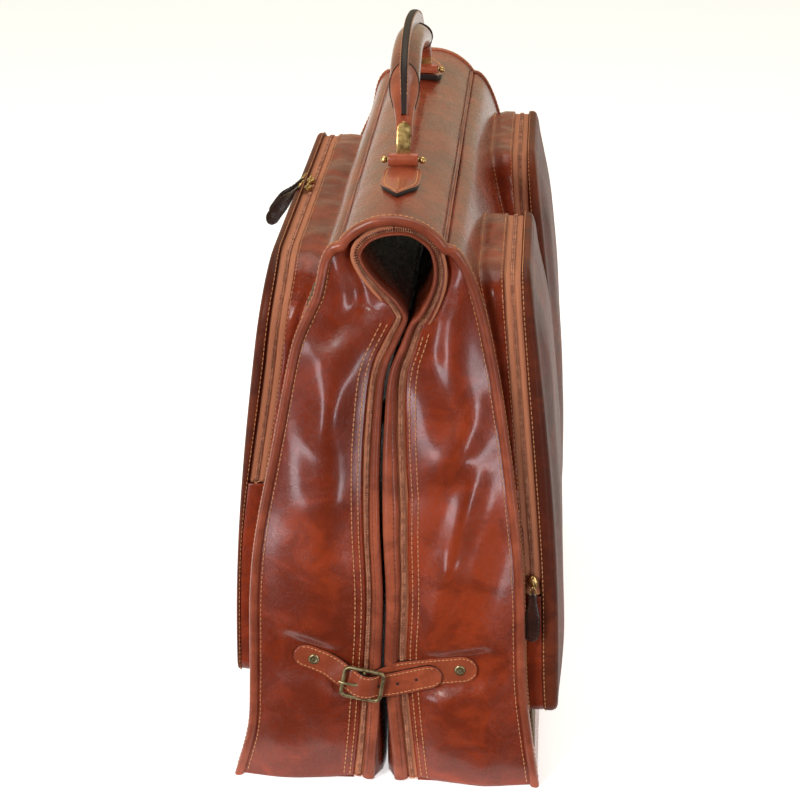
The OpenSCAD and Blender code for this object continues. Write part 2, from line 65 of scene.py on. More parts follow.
studio = {
    "camera": (0.120, -1.833, 1.081),
    "right": (0.9973, 0.0732, 0.0),
    "up": (-0.0298, 0.4056, 0.9135),
    "lens": 88.9,
    "floor": (0.88, 0.88, 0.88),
    "behind": (0.62, 0.55, 0.37),
    "ahead": (0.06, 0.05, 0.045),
    "dim": (-0.25, 0.45),  # the room is dark ahead of the bag and bright behind it
    "floorEdge": ((-6, -0.765, 0), (6, 0.113, 0), (6, 8, 0), (-6, 8, 0)),
    "floorGlow": 0.62,
}
lamps = {  # place, aim, size, watts and tint
    "overhead": ((0.1, 0.6, 2.4), (0, 0, 0.4), (1.6, 1.6), 20, (1, 0.96, 0.9)),
    "window": ((-1.5, -2.3, 1.9), (0, -0.25, 0.3), (0.8, 1.2), 68, (1, 0.97, 0.93)),
    "fill": ((1.9, -1.9, 1.4), (0.05, -0.25, 0.3), (0.8, 1.2), 20, (1, 0.97, 0.94)),
    "leftCard": ((-0.62, -0.95, 0.15), (-0.04, -0.29, 0.36), (0.16, 0.50), 2.2, (0.93, 0.92, 1)),
    "rightCard": ((0.62, -0.95, 0.09), (0.05, -0.29, 0.32), (0.12, 0.48), 1.8, (0.95, 0.93, 1)),
}


def makeCamera():
    data = bpy.data.cameras.new("camera")
    data.lens = studio["lens"]
    data.sensor_width = 36
    data.clip_end = 50
    camera = bpy.data.objects.new("camera", data)
    scene.collection.objects.link(camera)
    right, up = Vector(studio["right"]), Vector(studio["up"])
    turn = Matrix((right, up, right.cross(up))).transposed().to_4x4()
    camera.matrix_world = Matrix.Translation(studio["camera"]) @ turn
    scene.camera = camera


def softbox(name, place, target, size, power, tint):
    data = bpy.data.lights.new(name, "AREA")
    data.shape = "RECTANGLE"
    data.size, data.size_y = size
    data.energy = power
    data.color = tint
    lamp = bpy.data.objects.new(name, data)
    scene.collection.objects.link(lamp)
    aim = Vector(target) - Vector(place)
    lamp.matrix_world = Matrix.Translation(place) @ aim.to_track_quat("-Z", "Y").to_matrix().to_4x4()


def makeStudio():
    for name, looks in lamps.items():
        softbox(name, *looks)
    world = bpy.data.worlds.new("studio")
    world.use_nodes = True
    nodes, links = world.node_tree.nodes, world.node_tree.links
    place = nodes.new("ShaderNodeTexCoord")
    split = nodes.new("ShaderNodeSeparateXYZ")
    share = nodes.new("ShaderNodeMapRange")
    colour = nodes.new("ShaderNodeMix")
    share.interpolation_type = "SMOOTHSTEP"
    share.inputs["From Min"].default_value, share.inputs["From Max"].default_value = studio["dim"]
    colour.data_type = "RGBA"
    colour.inputs[6].default_value = studio["ahead"] + (1,)
    colour.inputs[7].default_value = studio["behind"] + (1,)
    links.new(place.outputs["Generated"], split.inputs[0])
    links.new(split.outputs["Y"], share.inputs["Value"])
    links.new(share.outputs[0], colour.inputs[0])
    links.new(colour.outputs[2], nodes["Background"].inputs[0])
    scene.world = world


class Wire:  # a socket of a material, with the arithmetic that the finishes use
    def __init__(self, paint, socket):
        self.paint = paint
        self.socket = socket

    def __add__(self, other):
        return self.paint.maths("ADD", self, other)

    def __sub__(self, other):
        return self.paint.maths("SUBTRACT", self, other)

    def __rsub__(self, other):
        return self.paint.maths("SUBTRACT", other, self)

    def __mul__(self, other):
        return self.paint.maths("MULTIPLY", self, other)

    __radd__ = __add__
    __rmul__ = __mul__


class Paint:  # one material, built node by node
    def __init__(self, name):
        self.material = bpy.data.materials.new(name)
        self.material.use_nodes = True
        self.nodes = self.material.node_tree.nodes
        self.links = self.material.node_tree.links
        self.shader = self.nodes["Principled BSDF"]
        self.place = self.node("TexCoord", {}, {}, "Object")

    def node(self, kind, settings, inputs, out=0):
        made = self.nodes.new("ShaderNode" + kind)
        for key, value in settings.items():
            setattr(made, key, value)
        for key, value in inputs.items():
            self.feed(made.inputs[key], value)
        return Wire(self, made.outputs[out])

    def feed(self, socket, value):
        if isinstance(value, Wire):
            self.links.new(value.socket, socket)
        else:
            socket.default_value = value

    def maths(self, operation, a, b):
        return self.node("Math", {"operation": operation}, {0: a, 1: b})

    def steps(self, value, low, high):
        return self.node("MapRange", {"interpolation_type": "SMOOTHSTEP"},
                         {"Value": value, "From Min": low, "From Max": high})

    def noise(self, scale, detail=4.0, rough=0.55, twist=0.0, stretch=None):
        place = self.place
        if stretch:
            place = self.node("VectorMath", {"operation": "MULTIPLY"}, {0: place, 1: stretch})
        return self.node("TexNoise", {}, {"Vector": place, "Scale": scale, "Detail": detail,
                                          "Roughness": rough, "Distortion": twist})

    def cells(self, scale):
        return self.node("TexVoronoi", {}, {"Vector": self.place, "Scale": scale})

    def blend(self, share, a, b):
        return self.node("Mix", {"data_type": "RGBA"}, {0: share, 6: a, 7: b}, 2)

    def shade(self, **values):
        names = {"colour": "Base Color", "rough": "Roughness", "metal": "Metallic", "normal": "Normal",
                 "coat": "Coat Weight", "coatRough": "Coat Roughness", "specular": "Specular IOR Level"}
        for key, value in values.items():
            self.feed(self.shader.inputs[names[key]], value)
        return self.material

    def bump(self, height, depth):
        return self.node("Bump", {}, {"Height": height, "Distance": depth, "Strength": 1.0})


def tint(colour):
    return tuple(colour) + (1.0,)


hide = {  # vegetable-tanned hide: colours, gloss, depth of its marks in metres, marks per metre
    "dark": (0.075, 0.011, 0.0045), "mid": (0.215, 0.028, 0.0085), "light": (0.33, 0.045, 0.012),
    "rough": 0.25, "coat": 0.5, "coatRough": 0.17, "specular": 0.25, "grain": 0.00006, "crumple": 0.00028,
    "cloud": 6.0, "patch": 30, "fibre": 420, "pores": 1150, "lines": 60, "dents": 110,
}


def leather(name, looks):
    paint = Paint(name)
    cloud = paint.noise(looks["cloud"], 4, 0.55, 0.5)
    patch = paint.noise(looks["patch"], 6, 0.62, 0.9)
    fibre = paint.noise(looks["fibre"], 4, 0.6)
    pores = paint.cells(looks["pores"])
    lines = paint.noise(looks["lines"], 7, 0.66, 1.7)
    crease = paint.node("Clamp", {}, {"Value": 1 - paint.maths("ABSOLUTE", lines * 2 - 1, 0) * 5.5})
    colour = paint.blend(paint.steps(cloud + patch * 0.3, 0.5, 0.82), tint(looks["mid"]), tint(looks["light"]))
    shadow = paint.steps(patch + cloud * 0.3, 0.76, 0.54) * 0.35
    colour = paint.blend(shadow, colour, tint(looks["dark"]))
    colour = paint.blend(paint.steps(pores, 0.34, 0.05) * 0.25, colour, tint(looks["dark"]))
    # painted shade: the hide is darkened along its crease lines
    colour = paint.blend(crease * 0.16, colour, tint(looks["dark"]))
    rough = looks["rough"] + (patch - 0.5) * 0.16 + (fibre - 0.5) * 0.08 + crease * 0.04
    fine = paint.bump(paint.steps(pores, 0.0, 0.5) + fibre * 0.5, looks["grain"])
    height = crease * -0.4 + paint.noise(looks["dents"], 4, 0.55, 0.6) * 0.8
    folds = paint.node("Bump", {}, {"Height": height, "Distance": looks["crumple"], "Strength": 1.0,
                                    "Normal": fine})
    return paint.shade(colour=colour, rough=rough, coat=looks["coat"], coatRough=looks["coatRough"],
                       specular=looks["specular"], normal=folds)


def variant(**changes):
    looks = dict(hide)
    looks.update(changes)
    return looks


def paintedEdge(name, colour):  # the dark resin that seals a cut edge
    paint = Paint(name)
    wave = paint.noise(260, 4)
    return paint.shade(colour=paint.blend(wave, tint(colour), tint([c * 2.2 for c in colour])),
                       rough=0.42 + wave * 0.2, specular=0.25, normal=paint.bump(wave, 0.0002))


def zipTape(name, dark, light):
    paint = Paint(name)
    rib = paint.node("TexWave", {"wave_type": "BANDS", "bands_direction": "DIAGONAL"},
                     {"Vector": paint.place, "Scale": 420.0, "Distortion": 1.5, "Detail": 2.0})
    soil = paint.noise(60, 5)
    colour = paint.blend(rib * 0.6 + soil * 0.4, tint(dark), tint(light))
    return paint.shade(colour=colour, rough=0.55 + soil * 0.25, normal=paint.bump(rib, 0.0003))


def metal(name, dark, light, rough, share=1.0):
    paint = Paint(name)
    wear = paint.noise(190, 5, 0.6)
    brush = paint.noise(900, 3, 0.5, 0.0, (1, 1, 0.12))
    colour = paint.blend(paint.steps(wear, 0.35, 0.68), tint(dark), tint(light))
    return paint.shade(colour=colour, metal=share, rough=rough + wear * 0.16 + brush * 0.1,
                       normal=paint.bump(brush + wear, 0.00008))


def thread(name, dark, light):
    paint = Paint(name)
    ply = paint.noise(900, 3)
    return paint.shade(colour=paint.blend(ply, tint(dark), tint(light)), rough=0.5 + ply * 0.2,
                       normal=paint.bump(ply, 0.0002))


def plain(name, dark, light, scale, rough):
    paint = Paint(name)
    wave = paint.noise(scale, 6)
    return paint.shade(colour=paint.blend(wave, tint(dark), tint(light)), rough=rough + wave * 0.1,
                       normal=paint.bump(wave, 0.0003))


finishes = {
    "shell": leather("shellHide", hide),
    "gusset": leather("gussetHide", variant(crumple=0.00024, coat=0.6)),
    "edge": leather("boundEdge", variant(mid=(0.30, 0.066, 0.030), light=(0.43, 0.105, 0.048), crumple=0.0002,
                                         rough=0.34, coat=0.25)),
    # painted shade: a darker copy of the hide for the lid, which sits sunk between the halves
    "lid": leather("lidHideShaded", variant(mid=(0.10, 0.016, 0.006), light=(0.2, 0.034, 0.012))),
    "pocket": leather("pocketHide", variant(crumple=0.0003, coat=0.3, specular=0.15)),
    "strap": leather("strapHide", variant(mid=(0.30, 0.060, 0.025), light=(0.42, 0.095, 0.040),
                                          dark=(0.16, 0.028, 0.011), crumple=0.0002, rough=0.3)),
    "grip": leather("gripHide", variant(mid=(0.15, 0.024, 0.010), light=(0.28, 0.05, 0.018), crumple=0.0002)),
    "face": leather("faceHide", variant(mid=(0.10, 0.020, 0.009), light=(0.19, 0.04, 0.015),
                                        dark=(0.035, 0.009, 0.005), rough=0.42, coat=0.04, specular=0.1)),
    # painted shade: near-black discs stand for the shadow inside the billet's punched holes
    "hole": plain("punchedHoleShade", (0.012, 0.006, 0.004), (0.03, 0.012, 0.008), 300, 0.8),
    "darkThread": thread("darkThread", (0.03, 0.014, 0.008), (0.07, 0.03, 0.016)),
    "pull": leather("pullHide", variant(dark=(0.010, 0.004, 0.003), mid=(0.028, 0.009, 0.006),
                                        light=(0.07, 0.02, 0.011), crumple=0.0003)),
    "paintedEdge": paintedEdge("paintedEdge", (0.012, 0.006, 0.005)),
    "tape": zipTape("zipTape", (0.42, 0.135, 0.062), (0.68, 0.265, 0.13)),
    "teeth": metal("zipTeeth", (0.30, 0.11, 0.062), (0.62, 0.29, 0.17), 0.38, 0.25),
    "brass": metal("brass", (0.40, 0.25, 0.08), (0.80, 0.58, 0.24), 0.20),
    "oldBrass": metal("oldBrass", (0.22, 0.17, 0.08), (0.58, 0.49, 0.27), 0.34),
    "seamThread": thread("seamThread", (0.13, 0.028, 0.012), (0.24, 0.06, 0.025)),
    "thread": thread("thread", (0.50, 0.19, 0.075), (0.78, 0.38, 0.17)),
    "board": plain("fibreBoard", (0.12, 0.08, 0.05), (0.22, 0.16, 0.10), 90, 0.8),
    "webbing": plain("webbing", (0.02, 0.012, 0.01), (0.05, 0.035, 0.03), 500, 0.8),
}
print("finishes ready")


def mix(a, b, t):
    return a + (b - a) * t


def ease(low, high, x):
    t = min(1.0, max(0.0, (x - low) / (high - low)))
    return t * t * (3 - 2 * t)


def bell(x, middle, width):
    return math.exp(-((x - middle) / width) ** 2)


def rough3(point, scale, seed=0.0):
    return noise.noise(Vector(point) * scale + Vector((seed, seed * 1.7, seed * 0.3)))


def shares(count, low=0.0, high=1.0):  # evenly spaced numbers from low to high
    return [mix(low, high, i / (count - 1)) for i in range(count)]


def between(stops, u):  # reads a list of number pairs at a share of its length
    k = u * (len(stops) - 1)
    i = min(int(k), len(stops) - 2)
    return [mix(a, b, k - i) for a, b in zip(stops[i], stops[i + 1])]


def smooth(dots, steps=16):  # a smooth line through dots
    line = []
    for i in range(len(dots) - 1):
        before, here = dots[max(i - 1, 0)], dots[i]
        there, after = dots[i + 1], dots[min(i + 2, len(dots) - 1)]
        for t in (k / steps for k in range(steps)):
            line.append(0.5 * (2 * here + (there - before) * t
                               + (2 * before - 5 * here + 4 * there - after) * t * t
                               + (3 * here - before - 3 * there + after) * t ** 3))
    return line + [dots[-1]]


class Track:  # a smooth line in a plane, read at any share of its length
    def __init__(self, points, steps):
        line = smooth([Vector((a * mm, b * mm)) for a, b in points], steps)
        self.a = np.array([p.x for p in line])
        self.b = np.array([p.y for p in line])
        gone = np.concatenate([[0], np.cumsum(np.hypot(np.diff(self.a), np.diff(self.b)))])
        self.length = float(gone[-1])
        self.share = gone / self.length

    def at(self, t):
        return float(np.interp(t, self.share, self.a)), float(np.interp(t, self.share, self.b))

    def left(self, t, reach=0.006):  # unit vector to the left of the way the line runs
        a0, b0 = self.at(max(0.0, t - reach))
        a1, b1 = self.at(min(1.0, t + reach))
        size = math.hypot(a1 - a0, b1 - b0)
        return -(b1 - b0) / size, (a1 - a0) / size

    def off(self, t, distance):
        a, b = self.at(t)
        na, nb = self.left(t)
        return a + na * distance, b + nb * distance


def link(name, verts, faces, finish):
    mesh = bpy.data.meshes.new(name)
    mesh.from_pydata([tuple(v) for v in verts], [], faces)
    mesh.materials.append(finishes[finish])
    mesh.update()
    mesh.shade_smooth()
    made = bpy.data.objects.new(name, mesh)
    scene.collection.objects.link(made)
    return made


def settle(piece, *modifiers):  # adds modifiers, then makes their result the piece's own mesh
    for kind, values in modifiers:
        added = piece.modifiers.new(kind.lower(), kind)
        for key, value in values.items():
            setattr(added, key, value)
    graph = bpy.context.evaluated_depsgraph_get()
    graph.update()
    done = bpy.data.meshes.new_from_object(piece.evaluated_get(graph))
    piece.modifiers.clear()
    old = piece.data
    piece.data = done
    done.name = old.name
    bpy.data.meshes.remove(old)
    return piece


def surface(name, shape, across, along, finish, thick=0.0, flip=False):  # shape(u, v) gives the points
    verts = [shape(i / across, j / along) for j in range(along + 1) for i in range(across + 1)]
    faces = []
    for j in range(along):
        for i in range(across):
            a = j * (across + 1) + i
            loop = (a, a + 1, a + across + 2, a + across + 1)
            faces.append(loop[::-1] if flip else loop)
    piece = link(name, verts, faces, finish)
    if thick:
        settle(piece, ("SOLIDIFY", {"thickness": thick, "offset": -1.0, "use_even_offset": False}))
    return piece


class Seam:  # collects small repeated solids, such as stitches, into one mesh
    def __init__(self):
        self.verts = []
        self.faces = []

    def capsule(self, middle, along, out, length, width, height):
        side = along.cross(out).normalized()
        first = len(self.verts)
        for step, swell in ((-0.5, 0.45), (-0.3, 1.0), (0.3, 1.0), (0.5, 0.45)):
            spot = middle + along * (length * step)
            for s, o in ((-0.5, 0), (-0.28, 1), (0.28, 1), (0.5, 0)):
                self.verts.append(spot + side * (width * s * swell) + out * (height * (o * swell - 0.3)))
        for ring in range(3):
            for k in range(4):
                a, b = first + ring * 4 + k, first + ring * 4 + (k + 1) % 4
                self.faces.append((a, b, b + 4, a + 4))
        self.faces.append((first + 3, first + 2, first + 1, first))
        self.faces.append((first + 12, first + 13, first + 14, first + 15))

    def stitches(self, path, pitch=0.0048, length=0.0036, width=0.0009, height=0.0007):
        gone, due = 0.0, pitch * 0.5
        for (p, n), (q, m) in zip(path, path[1:]):
            run = (q - p).length
            while run > 1e-9 and due <= gone + run:
                t = (due - gone) / run
                self.capsule(p.lerp(q, t), (q - p).normalized(), n.lerp(m, t).normalized(),
                             length, width, height)
                due += pitch
            gone += run

    def build(self, name, finish):
        return link(name, self.verts, self.faces, finish)


spineLow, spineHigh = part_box("spine_panel")
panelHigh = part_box("back_panel")[1]
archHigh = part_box("arch_bindings")[1]
shell = {  # measures of the shell, read from the frame
    "top": spineHigh.z, "seamHalf": spineHigh.x, "rise": 24 * mm, "power": 0.48,
    "baseHalf": panelHigh.x, "halfWidth": archHigh.y, "panelY": panelHigh.y, "hide": 2.6 * mm,
    "frontBelly": 10 * mm, "backTuck": 7 * mm, "frontFlare": 11 * mm,
}
shell["seamZ"] = shell["top"] - shell["rise"]
shell["domeR"] = (shell["seamHalf"] ** 2 + shell["rise"] ** 2) / (2 * shell["rise"])
shell["domeZ"] = shell["top"] - shell["domeR"]
endY = shell["halfWidth"]


def flank(z, side):  # half thickness of the shell at a height
    t = max(0.0, 1 - z / shell["seamZ"])
    x = shell["seamHalf"] + (shell["baseHalf"] - shell["seamHalf"]) * t ** shell["power"]
    if side < 0:
        x += shell["frontBelly"] * (bell(z, 0.225, 0.11) - 0.8 * bell(z, 0.487, 0.03))
        x += shell["frontFlare"] * math.exp(-z / 0.022)
    else:
        x -= shell["backTuck"] * bell(z, 0.1, 0.085)
    return x


def halfProfile(side):  # from the apex of the arch down one side
    points = []
    end = math.asin(shell["seamHalf"] / shell["domeR"])
    for i in range(8):
        a = end * i / 8
        points.append((side * shell["domeR"] * math.sin(a), shell["domeZ"] + shell["domeR"] * math.cos(a)))
    for i in range(21):
        t = i / 20
        z = shell["seamZ"] * (1 - t ** 2)
        points.append((side * flank(z, side), z))
    return Track([(x / mm, z / mm) for x, z in points], 5)


profiles = {-1: halfProfile(-1), 1: halfProfile(1)}
halfNames = {-1: "front", 1: "back"}
endNames = {-1: "near", 1: "far"}


def profileOff(side, t, inward):  # a point of the profile, moved in through the hide
    x, z = profiles[side].at(t)
    nx, nz = profiles[side].left(t)
    return x - side * nx * inward, z - side * nz * inward


lidLines = {  # hem, gusset, zip and lid edge follow lines that loop round the fold
    -1: [(2, 540), (-8, 538), (-18, 533), (-25, 523), (-21, 512), (-10, 498), (4, 484), (12, 472),
         (13, 463), (4, 441), (-4, 420), (-8, 392), (-11, 328), (-11, 263), (-8.5, 195), (-10.5, 125),
         (-13, 60), (-17, 2)],
    1: [(2, 540), (15, 539), (29, 529), (34, 513), (32, 494), (22, 472), (14.5, 463), (6, 441), (-2, 420),
        (-6, 392), (-9, 328), (-9, 263), (-6.5, 195), (-8, 125), (-4, 60), (1, 2)],
}
lids = {side: Track(points, 8) for side, points in lidLines.items()}
bands = {  # how far the lid's edge, the teeth and the gusset's edge lie from the lid line, in mm
    -1: {"lid": [(0, 3), (0.15, 4), (0.3, 6.5), (0.45, 8.5), (1, 11.5)],
         "teeth": [(0, 4.5), (0.15, 7), (0.3, 10), (0.45, 11.5), (1, 15.5)],
         "gusset": [(0, 5.6), (0.12, 9), (0.24, 12.5), (0.4, 15), (0.75, 16), (1, 20)]},
    1: {"lid": [(0, 3), (0.15, 4.5), (0.3, 8.5), (0.42, 12.5), (0.5, 14.5), (0.7, 12), (1, 13)],
        "teeth": [(0, 4.5), (0.15, 8), (0.28, 12), (0.42, 17), (0.5, 19), (0.7, 16), (1, 17)],
        "gusset": [(0, 5.6), (0.12, 10), (0.24, 14.5), (0.36, 18.5), (0.48, 23), (0.62, 21),
                   (0.75, 20), (1, 22)]},
}


def bandAt(side, name, t):
    stops = bands[side][name]
    return float(np.interp(t, [s[0] for s in stops], [s[1] for s in stops])) * mm


def lidOff(side, t, distance):  # a point beside the lid line, on its gusset side
    return lids[side].off(t, distance * side)


def endPoint(end, x, z, out):  # out is how far a point stands proud of the shell's end
    return Vector((x, end * (endY + out), z))


def onBody(piece, slot, body, *nodes):  # its finish slot, which is not used, its body and the nodes that it stands for
    if nodes:
        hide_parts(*nodes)
    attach(piece, body)


def follow(piece, side, slot, *nodes):  # cloth that crosses the fold: it hides the nodes that it stands for and stays in place, tied to no body
    if nodes:
        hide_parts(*nodes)
    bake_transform(piece)


gussetFolds = {  # listed folds: (x, z) of both ends, width and height, all in mm; a valley is negative
    -1: [((-38, 520), (-22, 470), 9, -9), ((-52, 505), (-40, 440), 12, 5), ((-22, 440), (-62, 360), 10, 6),
         ((-60, 425), (-48, 300), 13, 7), ((-48, 300), (-60, 190), 16, 5), ((-85, 380), (-60, 320), 14, -6),
         ((-30, 400), (-34, 250), 9, -3), ((-95, 260), (-70, 160), 16, -5), ((-75, 150), (-110, 60), 18, 4),
         ((-60, 110), (-52, 20), 12, 5), ((-100, 110), (-70, 20), 16, -5), ((-30, 475), (-52, 452), 8, -7)],
    1: [((38, 500), (32, 440), 8, -8), ((60, 470), (52, 400), 12, 5), ((34, 425), (52, 378), 9, -7),
        ((75, 385), (50, 330), 10, 7), ((82, 345), (45, 310), 10, -5), ((72, 325), (50, 230), 8, 9),
        ((50, 230), (24, 145), 9, 8), ((92, 300), (70, 200), 12, -5), ((88, 230), (78, 120), 14, 4),
        ((60, 160), (80, 90), 12, -4), ((100, 110), (85, 20), 12, 5), ((45, 100), (38, 20), 10, 5)],
}


pressed = {-1: ((-96, 139), (-38, 118)), 1: ((2, 114), (84, 129))}  # where the straps lie, in mm
gussetLooks = {  # in mm: how far it stands out, its folds' and waves' sizes, and its rows of stitches
    "rest": -3.5, "swell": 11, "tuck": 9, "foldWidth": 1.55, "foldHeight": 0.6,
    "waves": ((1.8, 12), (0.5, 30), (0.08, 90)), "pressed": -1.2, "pressWidth": 21,
    "sliderX": 19.5, "runWidth": 13, "runDepth": -6, "rows": (4, 9.5), "hemRow": 0.955,
}


def nearest(start, end, x, z):  # share along a line from start to end, in mm, and the gap to it
    a, b, p = Vector(start) * mm, Vector(end) * mm, Vector((x, z))
    t = min(1.0, max(0.0, (p - a).dot(b - a) / (b - a).length_squared))
    return t, (p - a.lerp(b, t)).length


def pressShare(side, x, z):
    return math.exp(-(nearest(*pressed[side], x, z)[1] / (gussetLooks["pressWidth"] * mm)) ** 4)


def foldHeight(side, x, z):
    total = 0.0
    for start, end, width, height in gussetFolds[side]:
        t, gap = nearest(start, end, x, z)
        gap /= width * gussetLooks["foldWidth"] * mm
        crest = 0.55 + 0.45 * math.sin(math.pi * (0.15 + 0.7 * t))  # a fold is highest in its middle
        total += height * gussetLooks["foldHeight"] * mm * math.exp(-gap * gap) * crest
    return total


def gussetShape(side, end):
    looks, seed = gussetLooks, 3.1 * side + 11 * end

    def shape(u, v):  # u runs from the zip to the hem, v from the top of the fold to the base
        ix, iz = lidOff(side, v, bandAt(side, "gusset", v))
        ox, oz = profileOff(side, v, 4.5 * mm)
        x, z = mix(ix, ox, u), mix(iz, oz, u)
        if v < 0.02:
            z = max(z, iz)
        belly = math.sin(math.pi * u)
        swell = looks["swell"] * mm * ease(0.12, 0.4, v) * (1 - 0.45 * ease(0.85, 1, v))
        swell -= looks["tuck"] * mm * (1 - ease(0.03, 0.2, v))
        loose = belly ** 0.8
        out = looks["rest"] * mm + swell * belly + foldHeight(side, x, z) * loose
        spot = Vector((x, 0.3 * end, z))
        out += loose * sum(height * mm * rough3(spot, scale, seed) for height, scale in looks["waves"])
        out = mix(out, min(out, looks["pressed"] * mm), pressShare(side, x, z))
        if end > 0:  # the main slider runs up here
            run = math.exp(-((x - side * looks["sliderX"] * mm) / (looks["runWidth"] * mm)) ** 4)
            run *= ease(0.14, 0.18, z) * (1 - ease(0.45, 0.48, z))
            out = mix(out, min(out, looks["runDepth"] * mm), run)
        return endPoint(end, x, max(z, 1.2 * mm), out)
    return shape


def makeGusset(side, end):
    name = endNames[end] + "_" + halfNames[side] + "_gusset"
    shape = gussetShape(side, end)
    piece = surface(name, shape, 44, 190, "gusset", 1.8 * mm, flip=side * end < 0)
    follow(piece, side, "shell_leather", halfNames[side] + "_" + endNames[end] + "_gusset", "fold_gussets")
    seam, out = Seam(), Vector((0, end, 0))
    for inset in gussetLooks["rows"]:  # a double row beside the zip, and one beside the hem
        path = []
        for v in shares(260, 0.2, 0.995):
            share = inset * mm / max(30 * mm, math.dist(shape(0, v), shape(1, v)))
            path.append((shape(share, v) + out * (0.5 * mm), out))
        seam.stitches(path, width=0.0011)
    seam.stitches([(shape(gussetLooks["hemRow"], v) + out * (0.4 * mm), out) for v in shares(260, 0.08, 0.99)])
    follow(seam.build(name + "_stitches", "thread"), side, "shell_leather")


def makeZip(side, end):
    name = endNames[end] + "_" + halfNames[side] + "_zip"

    def tapeShape(u, v):
        distance = mix(bandAt(side, "lid", v) - 2 * mm, bandAt(side, "gusset", v) + 3 * mm, u)
        x, z = lidOff(side, v, distance)
        return endPoint(end, x, max(z, 1 * mm), -4.2 * mm - 1.5 * mm * abs(u - 0.5))
    tape = surface(name, tapeShape, 6, 260, "tape", 0.8 * mm, flip=side * end < 0)
    follow(tape, side, "zip_tape", halfNames[side] + "_zip", "fold_zips")
    seam = Seam()
    count = int(lids[side].length / (1.6 * mm))
    for i in range(count):
        v = (i + 0.5) / count
        x, z = lidOff(side, v, bandAt(side, "teeth", v))
        nx, nz = lids[side].left(v)
        across, out = Vector((nx, 0, nz)), Vector((0, end, 0))
        spot = endPoint(end, x, max(z, 1 * mm), -3.0 * mm)
        for hand in (-1, 1):
            seam.capsule(spot + across * (hand * 0.9 * mm), across, out, 2.1 * mm, 0.95 * mm, 1.1 * mm)
    follow(seam.build(name + "_teeth", "teeth"), side, "zip_tape")


def makeLidEdge(side, end):
    name = endNames[end] + "_" + halfNames[side] + "_lid_edge"
    section = [(0.3, -12), (0.1, -5), (0.0, -2), (0.12, -0.2), (0.35, 0.9), (0.62, 0.8), (0.85, -0.4),
               (0.98, -2.4), (1.0, -5.5)]

    def shape(u, v):
        s, out = between(section, u)
        x, z = lidOff(side, v, bandAt(side, "lid", v) * s + 0.4 * mm)
        wave = 0.8 * mm * rough3((x, end * 0.3, z), 25, 5.0 * side)
        return endPoint(end, x, max(z, 1 * mm), out * mm + wave)
    piece = surface(name, shape, 16, 260, "edge", 0, flip=side * end > 0)
    follow(piece, side, "edge_leather")
    seam, out = Seam(), Vector((0, end, 0))
    seam.stitches([(shape(0.66, v) + out * (0.2 * mm), out) for v in shares(260, 0.02, 0.99)],
                  0.0046, 0.0032, 0.0007)
    follow(seam.build(name + "_stitches", "seamThread"), side, "edge_leather")


def makeLid(side):
    name = halfNames[side] + "_lid"

    def shape(u, v):
        y = mix(-endY + 4 * mm, endY - 4 * mm, u)
        middle = math.sin(math.pi * u)
        x, z = lidOff(side, v, 0.7 * mm + 1.5 * mm * middle * ease(0.2, 0.4, v))
        inside = ease(0, 0.035, u) * ease(0, 0.035, 1 - u) * ease(0.8, 0.97, v)
        x = mix(x, -8 * mm + side * 0.8 * mm, inside)  # away from the ends the two halves lie together
        return Vector((x, y, max(z, 1 * mm)))
    # the lid's darker hide is painted shade for its place deep in the fold
    piece = surface(name, shape, 40, 200, "lid", 2 * mm, flip=side < 0)
    follow(piece, side, "lid_leather", name + "_panel", "fold_lid_panel")


def makeHem(side, end):  # the turned edge that binds the end of the shell
    name = endNames[end] + "_" + halfNames[side] + "_hem"
    section = [(-7.0, -6.5), (-6.6, -2.2), (-5.4, -0.6), (-3.2, 0.5), (-1.0, 0.5), (0.9, -0.6), (1.6, -2.6),
               (1.7, -6), (1.5, -8.6), (0.6, -9.6), (-0.8, -9.8)]

    def shape(u, v):
        outward, out = between(section, u)
        x, z = profileOff(side, v, -outward * mm)
        return endPoint(end, x, max(z, 0.3 * mm), out * mm)
    piece = surface(name, shape, 30, 240, "edge", 0, flip=side * end < 0)
    follow(piece, side, "edge_leather", "arch_bindings", halfNames[side] + "_bindings")
    seam = Seam()
    path = []
    for v in shares(260, 0.0, 0.99):
        nx, nz = profileOff(side, v, -1)
        x, z = profiles[side].at(v)
        path.append((shape(0.72, v), Vector((nx - x, 0, nz - z)).normalized()))
    seam.stitches(path)
    follow(seam.build(name + "_stitches", "thread"), side, "edge_leather")


def makePanel(side):
    line = profiles[side]
    panelShare = float(np.interp(0.1 * mm - shell["seamZ"], -line.b, line.share))  # just under the hinge

    def shape(u, v):
        y = mix(-shell["panelY"] - 1 * mm, shell["panelY"] + 1 * mm, u)
        t = mix(panelShare, 1.0, v)
        x, z = line.at(t)
        x += side * 1.6 * mm * rough3((x, y, z), 7, 9.0) * math.sin(math.pi * u)
        return Vector((x, y, max(z, 0)))
    piece = surface(halfNames[side] + "_shell", shape, 90, 110, "shell", shell["hide"], flip=side > 0)
    onBody(piece, "shell_leather", halfNames[side] + "_half", halfNames[side] + "_panel")


def makeSpine():
    end = math.asin(shell["seamHalf"] / shell["domeR"])

    def shape(u, v):
        a = mix(-end, end, u)
        y = mix(-shell["panelY"] - 1 * mm, shell["panelY"] + 1 * mm, v)
        sag = 0.9 * mm * rough3((a * 0.1, y, 0), 9, 2.0) + 0.5 * mm * rough3((a * 0.1, y, 0), 26, 4.0)
        r = shell["domeR"] + sag * math.cos(a)
        return Vector((r * math.sin(a), y, shell["domeZ"] + r * math.cos(a)))
    piece = surface("spine_shell", shape, 40, 150, "shell", shell["hide"])
    onBody(piece, "shell_leather", "spine", "spine_panel")


